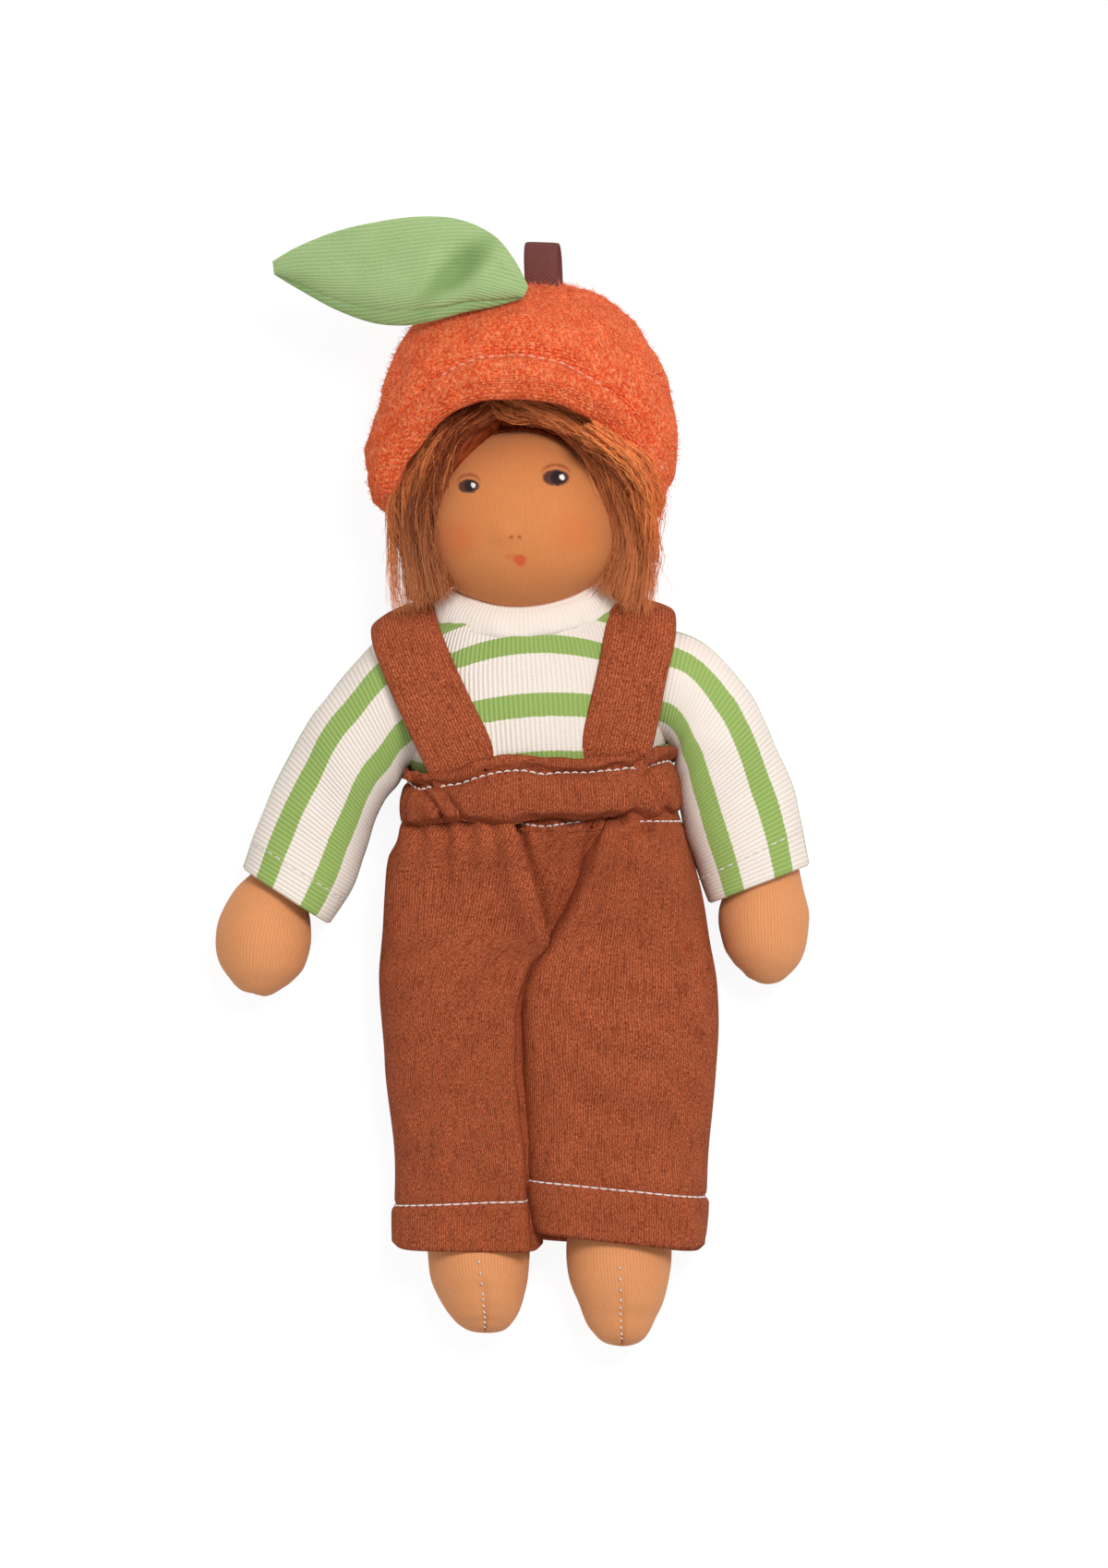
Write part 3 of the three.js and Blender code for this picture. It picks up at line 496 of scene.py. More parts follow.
def velour(name, dark, light):
    """Short pile in fine slanting ribs, with painted shade over the leaf's hollow."""
    f = Finish(name, rough=0.8, sheen=0.5, sheen_colour=(190, 225, 150), specular=0.1)
    where, u, v = f.cloth()
    rib = f.wave(f.madd(v, 0.12, u), 1.05)
    pile = f.noise(where, 0.7, 3, 0.6)
    share = f.madd(f.noise(where, 10, 2), 0.4, f.madd(rib, 0.26, f.mul(pile, 0.5)), clamp=True)
    # A darker green oval over the leaf's dent: painted shade of the hollow.
    painted_hollow_shade = f.oval(f.madd(u, 0.5, v), u, (22.0, -1.0), (4.4, 9.5), 0.55)
    base = f.mix(f.mul(painted_hollow_shade, 0.55), f.mix(share, dark, light), (94, 128, 60))
    return f.finish(base, f.madd(pile, 0.4, f.mul(rib, 0.6)), 0.3, 0.8)


def tape(name, base):
    f = Finish(name, rough=0.75, specular=0.2)
    where, u, v = f.cloth()
    twill = f.wave(f.add(u, v), 0.9)
    tone = f.madd(twill, 0.25, f.madd(f.noise(where, 1.2, 2), 0.2, 0.72))
    return f.finish(f.shade(base, tone), twill, 0.2, 0.8)


def thread(name, base):
    f = Finish(name, rough=0.6, specular=0.3)
    _, u, v = f.cloth()
    ply = f.wave(f.add(f.mul(u, 2.0), v), 0.5)
    return f.finish(f.shade(base, f.madd(ply, 0.2, 0.8)), ply, 0.06)


def mohair(name, dark=(102, 29, 5), light=(236, 140, 80)):
    """cloth holds a random share for each strand, its place from root to tip, and how worn the tip is."""
    f = Finish(name, rough=0.6, specular=0.18)
    pick, along, pale = f.split(f.place())
    base = f.mix(f.mul(f.step(along, 0.5, 1.1), pale), f.mix(pick, dark, light), (234, 156, 104))
    streak = f.noise(f.join(f.mul(pick, 40.0), f.mul(along, 3.0)), 1.0, 2)
    return f.finish(f.shade(base, f.madd(streak, 0.5, 0.85)), streak, 0.1)


def matted_hair(name):
    """The hair under the loose strands: fine streaks down v."""
    f = Finish(name, rough=0.7, specular=0.15)
    where = f.place()
    streak = f.noise(f.stretch(where, 1.0, 0.06), 0.45, 3, 0.6)
    lock = f.noise(f.stretch(where, 1.0, 0.12), 3.5, 2)
    base = f.mix(f.step(streak, 0.3, 0.7), (84, 28, 8), (158, 70, 28))
    return f.finish(f.shade(base, f.madd(lock, 0.5, 0.72)), f.madd(streak, 0.5, f.mul(lock, 0.8)), 0.5, 1.0)


SKIN = tricot("tricot_skin", (220, 147, 96))
FACE = tricot("tricot_face", (210, 130, 75), with_face=True)
STRIPED = rib_knit("striped_rib_knit")
SLEEVE_STRIPED = rib_knit("striped_rib_sleeve", 5.8, 0.8)
CREAM_RIB = rib_knit("cream_rib_knit", 0, 0.55)
HEATHER = heather("rust_heather_sweatshirt")
# The band's copy of the strap cloth is darker all over: painted shade for the gathered band.
HEATHER_SHADED_BAND = heather("rust_heather_band_painted_shade", 0.2)
WOOL = boiled_wool("orange_boiled_wool")
WOOL_FIBRE = mohair("loose_wool_fibre", (214, 66, 34), (255, 160, 112))
LEAF_TOP = velour("leaf_velour", (118, 152, 86), (178, 198, 144))
# The underside's copy of the velour is darker: painted shade for the rim that lies under the top panel's
# edge.
LEAF_UNDER = velour("leaf_velour_under", (108, 142, 80), (164, 187, 130))
TAPE = tape("brown_twill_tape", (118, 66, 62))
WHITE_THREAD = thread("white_thread", (246, 238, 234))
HAT_THREAD = thread("hat_thread", (248, 190, 164))
HAIR = mohair("mohair_strands")
HAIR_BASE = matted_hair("mohair_matted")


# Shapes of cloth and limbs

SIDES = {"left": 1, "right": -1}


def loft(middles, half_widths, half_heights, square=2.2, cols=96, across=(1, 0, 0), lift=(0, 0, 1)):
    """Rings round a path. Column 0 is at the +across side and a quarter round is the top."""
    c, s = oval(ring_angles(cols), square)
    wide, high = (half_widths[:, None] * c)[..., None], (half_heights[:, None] * s)[..., None]
    across, lift = (broadcast_to(np.asarray(way, float), middles.shape)[:, None] for way in (across, lift))
    return middles[:, None] + across * wide + lift * high


def spanned(table, count):
    """Two edges seen from above with the middle's height and half depth, read off at even places.
    Gives those places and the middles, half widths, half depths and directions across."""
    along, values = even(table, count)
    a, b = values[:, 0:2], values[:, 2:4]
    half = np.linalg.norm(a - b, axis=1) / 2
    across = column_stack([(a - b) / (2 * half)[:, None], 0 * half])
    return along, column_stack([(a + b) / 2, values[:, 4]]), half, values[:, 5], across


def above(grid, height):
    """The grid, with what would lie lower put at this height over the table."""
    grid[..., 2] = np.maximum(grid[..., 2], height)
    return grid


def dashes(name, path, normals, body, pitch, length, radius, material=WHITE_THREAD, slant=0.0):
    """Machine stitches along a path: short bowed threads that dip into the cloth at both ends."""
    far = concatenate([[0], np.cumsum(np.linalg.norm(np.diff(path, axis=0), axis=1))])
    t = linspace(0, 1, 7)
    sides = 6
    spin = ring_angles(sides)[:, None]
    points, faces, cloth = [], [], []
    for start in arange(0, far[-1] - length, pitch):
        place = start + t * length
        at, up = (stack([np.interp(place, far, line[:, n]) for n in range(3)], 1) for line in (path, normals))
        up = unit(up)
        side = unit(cross(up, unit(at[-1] - at[0])))
        at = at + up * (radius * 1.5 * sin(t * pi) - radius * 0.6)[:, None]
        at = at + side * ((t - 0.5) * slant)[:, None]
        thick = (radius * (0.75 + 0.25 * sin(t * pi)))[:, None, None]
        ring = at[:, None] + thick * (side[:, None] * cos(spin) + up[:, None] * sin(spin))
        base = len(points) * (len(t) * sides + 2)
        points.append(concatenate([ring.reshape(-1, 3), at[:1], at[-1:]]))
        faces += grid_faces(len(t), sides, start=base) + end_faces(len(t), sides, base)
        uv = np.zeros((len(t) * sides + 2, 2))
        uv[:-2] = column_stack([np.repeat(place, sides), np.tile(spin[:, 0] / 6, len(t))])
        cloth.append(uv)
    points = concatenate(points)
    piece = make_mesh(name, points, outward(points, faces), concatenate(cloth), material, body)


def level_line(grid, n, values, columns):
    """Where a growing value passes nought in each column: points on the grid and their normals."""
    path, normals = [], []
    for c in columns:
        k = int(clip(np.searchsorted(values[:, c], 0.0), 1, len(values) - 1))
        a, b = values[k - 1, c], values[k, c]
        t = float(clip(-a / (b - a + 1e-9), 0, 1))
        path.append(grid[k - 1, c] * (1 - t) + grid[k, c] * t)
        normals.append(n[k - 1, c])
    return array(path), array(normals)


# Sweater

TORSO_RINGS = (  # height, half width, half depth, forward
    (31, 32, 18.6, 0), (44, 33.2, 19.4, 0), (58, 33.6, 19, 0.8), (68, 33, 17.4, 2), (74, 31.2, 15.8, 3),
    (78, 29.4, 14.2, 4.2), (81, 27.4, 13, 5), (83.6, 24, 11.6, 5.6),
)
# Heights over the hips, and the places across the stripes that put the green there.
STRIPE_PLACES = ((31, 31), (43.9, 43.8), (56.1, 55.3), (62.2, 61.5), (72.6, 69.9), (77.4, 76.1), (84, 86))


def sweater_body():
    rows, cols = linspace(31, 83.6, 90), 150
    wide, deep, forward = curve(TORSO_RINGS, rows).T
    grid = loft(stack([0 * rows, rows, forward], 1), wide, deep, 2.5, cols)
    folds = lumps(grid, (14, 22, 14), 1) * 0.7 + lumps(grid, (7, 12, 7), 2) * 0.35
    grid = grid + grid_normals(grid) * folds[..., None] * ease(rows, 33, 44)[:, None, None]
    x, y, z = np.moveaxis(grid, 2, 0)
    arch = (x + 1) ** 2 * (0.005 + 0.004 * ease(y, 60, 74)) * ease(z, 0, 8) * (1 - ease(np.abs(x), 22, 34))
    cloth = spread(arange(cols) / cols * RIB * 170, np.interp(y + arch, *array(STRIPE_PLACES).T))
    piece = cloth_tube("sweater_body", from_body(grid), cloth, 1.4, STRIPED, "torso")
    nodes = ("sweater_front", "sweater_back", "torso_skin", "torso_wool_stuffing")
    stands_for(piece, "rib_knit", *nodes, fill=0.8)


def sweater_neckband():
    """Cream ribbing round the neck, higher beside the chin than under it."""
    cols = 170
    t = linspace(0, 1, 24)
    rows = 77.4 + 7.6 * t
    swell = 1.2 * sin(pi * clip(t * 1.05, 0, 1)) ** 0.6 - 0.5 * bump(t, 0.02, 0.07)
    middles = stack([0 * rows, rows, 4.2 + 1.6 * t], 1)
    grid = loft(middles, 25.8 - 5.6 * t + swell, 14.4 - 2.2 * t + swell, 2.2, cols)
    rise = (3.0 + 3.4 * t)[:, None] * (grid[..., 0] / 21) ** 2
    grid[..., 1] += rise + lumps(grid, (9, 9, 9), 4) * 0.35 - 1.0 * (grid[..., 2] - 4) / 14
    front = ease(grid[..., 2], 4, 10)
    puckers = sin(ring_angles(cols) * 19 + 2 * sin(arange(cols) * 0.2)) * bump(t, 0.05, 0.25)[:, None]
    grid[..., 2] += puckers * 0.25 * front + lumps(grid, (6, 7, 6), 31) * 0.5 * front
    cloth = spread(arange(cols) / cols * RIB * 130, rows[:, None])
    piece = cloth_tube("sweater_neckband", from_body(grid), cloth, 1.5, CREAM_RIB, "torso")
    stands_for(piece, "rib_knit", "sweater_collar")


# Each sleeve down to the cuff: outer and inner edge seen from above, and the middle's height and half depth.
SLEEVES = {
    "left": (
        (28, 80.2, 24.6, 52, 25, 13.6), (37.6, 76.4, 30.2, 49, 24.6, 14.2),
        (46.8, 68.2, 31.4, 42.6, 23, 14.4), (55.6, 56, 33, 34.2, 20.4, 14.2),
        (61.4, 43, 35.4, 24.6, 17.6, 13.6), (65.2, 30, 38.6, 16, 15.4, 13.2),
        (67.6, 18, 41.6, 8, 14.2, 12.8),
    ),
    "right": (
        (-32, 79, -28, 52, 25, 13.6), (-42, 78, -32.4, 45.4, 24.6, 14.2),
        (-53.4, 66.8, -38, 39.4, 22.4, 14.4), (-63, 54.2, -44.6, 30.8, 19.4, 14),
        (-70.6, 39.6, -48, 20.4, 16.6, 13.4), (-76.4, 26.6, -51.8, 10.6, 14.8, 13.2),
        (-79.8, 17, -57.2, 2.6, 14.2, 12.8),
    ),
}
# A band between these points, down from the top of the shoulder; the sleeve reads them but does not turn with
# the arm.
ARM_BEND = {"left": ((27, 73), (42, 60)), "right": ((-29, 74), (-45, 62))}
CUFF_SPANS = (slice(3, 52), slice(58, 108))  # the columns of the cuff's stitches


def sleeve(side):
    cols = 110
    along, middles, half, deep, across = spanned(SLEEVES[side], 80)
    grid = loft(middles, half, deep, 2.3, cols, across)
    folds = lumps(grid, (10, 16, 12), 5 + SIDES[side]) * 0.9 + lumps(grid, (6, 6, 9), 9) * 0.3
    crease = bump(along, 1.7, 0.35) * 1.0 + bump(along, 2.5, 0.3) * 0.5
    n = grid_normals(grid)
    grid = grid + n * (folds * 0.7 - crease[:, None] * ease(-cos(ring_angles(cols)), 0.1, 1.0))[..., None]
    grid = above(grid, 0.4) + FROM_HIPS
    down, around, girth = path_lengths(grid)
    turn = around / girth
    turn = np.where(turn < 0.75, turn, turn - 1)  # the seam is at the back
    cloth = spread(down, turn * STRIPE_PERIOD * round(girth.mean() / STRIPE_PERIOD))
    piece = cloth_tube(f"{side}_sleeve_cloth", grid, cloth, 1.3, SLEEVE_STRIPED)
    start, end = (metres(from_hips(x, y, 24.0)) for x, y in ARM_BEND[side])
    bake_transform(piece)
    stands_for(piece, "rib_knit", f"{side}_sleeve", f"{side}_cuff_hem", f"{side}_armhole_seam")
    row = int(0.87 * len(grid))
    path, normals = (concatenate([g[row, span] for span in CUFF_SPANS]) for g in (grid, n))
    dashes(f"{side}_cuff_stitches", path, normals, f"{side}_arm", 2.6, 1.7, 0.2)


# Hands and feet: rows of (x, y, z, half across, half high), from the hidden end to the round end.
HANDS = {
    "left": (
        (50, 40, 17, 8.6, 8.6), (54, 24, 14.4, 8.8, 8.8), (55.6, 12, 13.8, 10.4, 9.8),
        (55.9, 5, 13.6, 12, 11.4), (56.2, -1, 13.4, 11.5, 11.4), (56.1, -6, 13.2, 9.9, 10.2),
        (55.6, -10, 13.1, 7, 7.4), (55, -12.5, 13.1, 3.6, 4), (54.8, -13.2, 13.1, 0.6, 0.6),
    ),
    "right": (
        (-58, 38, 17, 8.6, 8.6), (-65, 22, 14.4, 8.4, 8.4), (-69.4, 13, 13.8, 8, 8),
        (-72.4, 6.5, 13.4, 10.8, 10.6), (-74.4, -1, 13.2, 12.5, 12.3), (-75.4, -8, 13.1, 11.4, 11.4),
        (-75.8, -12.8, 13, 7.8, 8), (-75.9, -15.6, 12.9, 4, 4.4), (-76, -16.3, 12.9, 0.6, 0.6),
    ),
}
FEET = {
    "left": (
        (18, -58, 16, 11.5, 11.5), (18, -72, 15, 12, 11.6), (18, -81, 14.6, 13.5, 12.6),
        (18.3, -88, 14.8, 13.4, 13.2), (18.6, -94.4, 15.4, 11.8, 12.2), (18.6, -99.6, 16, 9.9, 10.2),
        (18.8, -103.5, 16.8, 7.7, 7.8), (18.9, -106.4, 17.4, 4.9, 4.8), (18.9, -107.6, 17.7, 0.6, 0.6),
    ),
    "right": (
        (-17.6, -58, 16, 11.5, 11.5), (-18, -72, 15, 12.4, 11.8), (-18.4, -80, 14.6, 13.5, 12.6),
        (-18.2, -86, 14.6, 13.4, 13), (-17.5, -92, 15, 12.2, 12.4), (-17, -97.6, 15.8, 10, 10.3),
        (-16.8, -101.4, 16.6, 7.4, 7.4), (-16.8, -103.4, 17.2, 4.5, 4.2), (-16.8, -104.2, 17.4, 0.6, 0.6),
    ),
}
# A foot's seam stitches: name, first and last row as shares, pitch, length and slant.
FOOT_SEAMS = (("upper", 0.36, 0.6, 3.0, 0.9, 0.2), ("lower", 0.6, 0.985, 1.9, 0.8, 0.4))


def limb(table, square, seed):
    middles, half = np.split(even(table, 70)[1], [3], axis=1)
    middles, half = middles + FROM_HIPS, np.maximum(half, 0.4)
    way = unit(np.gradient(middles, axis=0))
    across = unit(cross((0, 0, 1), way))
    grid = loft(middles, half[:, 0], half[:, 1], square, 72, across, cross(way, across))
    n = grid_normals(grid)
    grid = above(grid + n * (lumps(grid, 9, seed) * 0.35)[..., None], 0.25)
    return grid, tidy_cloth(grid), n


def hand_and_foot(side):
    grid, cloth, _ = limb(HANDS[side], 2.0, 3 + SIDES[side])
    piece = closed_blob(f"{side}_arm_and_hand", grid, cloth, SKIN, f"{side}_arm")
    stands_for(piece, "cotton_tricot", f"{side}_arm_skin", f"{side}_arm_wool", fill=1.0)
    grid, cloth, n = limb(FEET[side], 2.1, 6 + SIDES[side])
    rows, cols = grid.shape[:2]
    crease = bump(arange(cols), cols * 0.25, 1.2) * ease(arange(rows), rows * 0.45, rows * 0.55)[:, None]
    grid = grid - n * crease[..., None]
    piece = closed_blob(f"{side}_leg_and_foot", grid, cloth, SKIN, f"{side}_leg")
    stands_for(piece, "cotton_tricot", f"{side}_leg_skin", f"{side}_leg_wool", fill=1.0)
    for part, first, last, pitch, length, slant in FOOT_SEAMS:
        path, normals = (g[int(rows * first) : int(rows * last), cols // 4] for g in (grid, n))
        name = f"{side}_foot_{part}_stitches"
        dashes(name, path + normals * 0.3, normals, f"{side}_leg", pitch, length, 0.24, slant=slant)


# Dungarees

BAND_TOP, BAND_BOTTOM = 44.8, 29.2
BAND_HALF_WIDTH, BAND_HALF_DEPTH = 34.6, 22.4
BAND_CREASES = (-24.5, -29.5, 29.0)
GATHERS = 23
BAND_STITCHES = (2.2, 1.75, 0.25)  # pitch, length and radius


def gather_ridges(turns, heights):
    """Gathers: soft upright ridges of uneven width, fading and shifting down the band."""
    a = turns * 2 * pi
    uneven = 0.35 * sin(a * 5 + 1.0) + 0.3 * sin(a * 11 + heights * 0.22)
    return sin(a * GATHERS + uneven * 3 + heights * 0.12) * (0.6 + 0.4 * sin(a * 7 + 2.0))


def waistband():
    """A gathered channel for the elastic with a narrow ruffle above it, rolled over the trousers below."""
    cols, rows = 300, 80
    flat = linspace(0, 1, rows)
    heights = BAND_BOTTOM + (BAND_TOP - BAND_BOTTOM) * flat
    channel = sin(pi * clip((flat + 0.06) / 0.86, 0, 1)) ** 0.6
    swell = 3.0 * channel - 2.6 * (1 - ease(flat, 0, 0.14)) + 2.2 * ease(flat, 0.8, 0.93)
    middles = stack([0 * flat + 0.3, heights, 0 * flat], 1)
    grid = loft(middles, BAND_HALF_WIDTH - 0.8 + swell, BAND_HALF_DEPTH - 1.4 + swell, 3.2, cols)
    t = flat[:, None]
    ridges = gather_ridges(arange(cols) / cols, heights[:, None])
    x, y, z = np.moveaxis(grid, 2, 0)
    front = ease(z, 4, 14)
    crease = sum(bump(x - (37.5 - y) * 0.5, place, 1.3) for place in BAND_CREASES)
    crease = crease * bump(t, 0.4, 0.42) * front
    grip = 0.45 + 0.9 * (bump(t, 0.82, 0.12) + bump(t, 0.04, 0.2))
    swelling = (ridges * grip * 0.7 + lumps(grid, (10, 9, 13), 3) * 1.4) * (1 - 0.7 * bump(t, 0.79, 0.08))
    grid = grid + grid_normals(grid) * (swelling - crease * 2.0)[..., None]
    sag = 2.0 * ease(-grid[..., 0], 6, 26) - 0.4 + 1.4 * bump(grid[..., 0], 18, 7)
    grid[..., 1] -= (sag * front) * t * 0.9
    ruffled = ease(t, 0.86, 1.0) + 0.8 * (1 - ease(t, 0, 0.2))
    grid[..., 1] += (ridges * 0.5 + lumps(grid, (7, 8, 8), 12) * 0.9) * front * ruffled
    grid[..., 1] += lumps(grid, (8, 30, 20), 31) * 1.3 * front * ease(t, 0.6, 0.8)
    grid[..., 1] -= grid[..., 0] * 0.03 * (1 - t) * front
    world = above(from_body(grid), 0.15)
    piece = cloth_tube("gathered_waistband", world, tidy_cloth(world), 1.5, HEATHER_SHADED_BAND, "torso")
    stands_for(piece, "sweatshirt_cloth", "waistband", "waist_elastic")
    row, span = int(0.79 * (rows - 1)), slice(int(0.01 * cols), int(0.49 * cols))
    dashes("waistband_stitches", world[row, span], grid_normals(world)[row, span], "torso", *BAND_STITCHES)


# Each strap from the band over the shoulder and back: its middle line, height and half width.
STRAPS = {
    "left": (
        (14.2, 34, 39.6, 9.3), (16.5, 45, 42.4, 9.3), (19.3, 57, 44.2, 9.2), (21.6, 68, 43.4, 9),
        (23.4, 77, 40.2, 9.2), (24, 83, 35.8, 9), (24, 85.4, 28, 8.6), (23.4, 84.4, 18, 8.6),
        (22, 79, 9, 8.4), (18, 66, 4, 8.2), (14, 50, 2.2, 8.2), (11.6, 36, 2.4, 8.2),
    ),
    "right": (
        (-18.5, 33, 39.6, 9.3), (-22.4, 44, 42.4, 9.3), (-28.2, 56, 43.6, 9.1), (-33.2, 67, 42, 9),
        (-36.6, 75.4, 38.4, 9), (-38.2, 81, 33.6, 8.8), (-38.6, 83, 26.6, 8.4), (-36.6, 81.6, 17, 8.2),
        (-31, 76, 8.6, 8.2), (-24, 64, 4, 8.2), (-19, 50, 2.2, 8.2), (-16, 36, 2.4, 8.2),
    ),
}


def strap(side):
    cols = 40
    along, values = even(STRAPS[side], 120)
    middles = values[:, :3] + FROM_HIPS
    way = unit(np.gradient(middles, axis=0))
    across = cross(way, np.where(along[:, None] < 6, (0, 0, 1.0), (0, 0, -1.0)))
    flat = unit(cross(way[int(3.2 / 11 * 120)], (0, 0, 1.0)))
    across = np.where(np.linalg.norm(across, axis=1, keepdims=True) > 0.3, unit(across), flat)
    across = across * np.sign(np.sum(across * flat, 1, keepdims=True) + 1e-9)
    steady = bump(along, 6.0, 1.6)[:, None]
    across = across * (1 - steady) + flat * steady
    across = unit(across - way * np.sum(across * way, 1, keepdims=True))
    out = cross(across, way)
    out *= np.sign(out[:10, 2].sum())
    grid = loft(middles, values[:, 3], 0 * along + 1.25, 3.4, cols, across, out)
    angles = ring_angles(cols)
    grid = grid - out[:, None] * (0.9 * cos(angles) ** 2)[:, None]
    grid = above(grid + out[:, None] * (lumps(grid, (9, 14, 12), 8) * 0.5)[..., None], 0.2)
    cloth = spread(cos(angles) * 9, path_lengths(grid)[0])
    piece = closed_blob(f"{side}_dungaree_strap", grid, cloth, HEATHER, "torso")
    stands_for(piece, "sweatshirt_cloth", f"{side}_strap")


# Each trouser leg down from the waist: y, its edges' x seen from above, and its underside's and top's height.
TROUSERS = {
    "left": (
        (36, 15.4, 33, 5, 41), (31, 15.4, 34, 3, 41.6), (27, 12.2, 36, 1, 44.2), (20, 9, 38.2, 0.4, 44.4),
        (10, 5.6, 40.2, 0.4, 41.4), (0, 0.8, 41.4, 0.4, 38.6), (-10, -4.4, 42.8, 0.4, 37),
        (-20, -7, 43.4, 0.4, 36), (-33.6, -6.9, 43.2, 0.4, 34.6), (-45.6, -6.4, 42.6, 0.4, 33),
        (-57.6, -5.5, 41.4, 0.4, 31.6), (-69.6, -4.6, 40.4, 0.4, 30.2), (-79.8, -3.8, 39.2, 0.6, 29.2),
    ),
    "right": (
        (36, -35, 22, 5, 41), (31, -36.4, 22, 3, 41.6), (27, -38.6, 20, 1, 44.2),
        (20, -42, 17, 0.4, 43.8), (10, -43.2, 13, 0.4, 40.6), (0, -43.4, 7, 0.4, 37.4),
        (-10, -43.7, 1, 0.4, 35.8), (-20, -43.7, -3.4, 0.4, 34.6), (-33.6, -43.2, -3.4, 0.4, 33.2),
        (-45.6, -42.6, -3, 0.4, 31.6), (-57.6, -41.9, -2.6, 0.4, 30.2), (-69.6, -41.1, -2.4, 0.4, 28.8),
        (-82.4, -40.2, -2.6, 0.6, 27.8),
    ),
}
# The folds on both sides of the sunk front, from the waist to where they meet: height and x.
FOLD_RIGHT = ((-16, -7.2), (-5, -1.4), (5, 4.4), (14, 8.2), (24, 11.5), (31, 18.0))
FOLD_LEFT = ((-14, -6.0), (-4, -1.6), (2, -2.7), (15, -6.1), (31, -10.6))
# Height and x of the gap between the legs.
LEG_LINE = ((-90, -3.6), (-70, -4.6), (-57, -5.5), (-45, -6.4), (-33, -7), (-20, -7), (-10, -4.4), (0, 0.8))
# Where the stitches under the waistband show: from one x to the other.
WAIST_SEAM = {"left": {"left": (23.0, 34.0)}, "right": {"right": (-37.5, -32.0), "middle": (-10.4, 9.0)}}
# Height of the hem's stitches at the outer and the inner side.
HEM_LINE = {"left": (-69.0, -64.4), "right": (-71.2, -69.6)}


def trouser_folds(side, x, y, upper):
    """How far out of its rounded shape each place of the cloth lies, and how far it slides sideways."""
    slide = 0 * x
    if side == "left":
        ridge = curve(FOLD_RIGHT, y)[..., 0]
        out = bump(x, ridge + 3.0, 2.6) * 1.7 * ease(y, -60, 0) * (1 - ease(y, 25, 31)) * upper
        out -= bump(x, ridge + 9.5, 3.0) * 1.3 * ease(y, -14, 8) * upper
        out -= bump(x, 30 + 0.2 * y, 2.6) * bump(y, 12, 14) * 0.9 * upper
    else:
        valley = curve(FOLD_LEFT, y)[..., 0]
        shown = ease(y, -8, 0)
        sunk = ease(x, valley - 0.3, valley + 0.4) * shown
        out = -sunk * (4.8 + 1.4 * bump(x, valley + 1.4, 1.6) - 1.6 * ease(y, 14, 28)) * upper
        lip = shown * (1 - ease(y, 25, 31)) * upper
        out += bump(x, valley - 2.2, 2.6) * 1.8 * lip
        slide = ease(x, valley - 4.0, valley - 0.4) * (1 - ease(x, valley - 0.1, valley + 0.8)) * 2.0 * lip
        out -= bump(x, valley - 9.0, 3.0) * 1.1 * bump(y, 8, 14) * upper
        line = curve(LEG_LINE, y)[..., 0]
        out -= 3.4 * ease(x, line - 3.2, line + 0.2) ** 2 * (1 - ease(y, -12, -3)) * upper
        dip = bump(x, -9.5 + 0.12 * y, 2.4) * bump(y, -12, 7) * 1.2
        out -= (dip + bump(x, -27 - 0.1 * y, 3.0) * bump(y, 14, 14) * 1.0) * upper
    drag = sin((y + SIDES[side] * x * 0.7) * 0.42 + 1.4 * sin(x * 0.15)) * bump(y, -30, 22)
    return out + drag * ease(SIDES[side] * x, -6, 18) * 0.6 * upper, slide


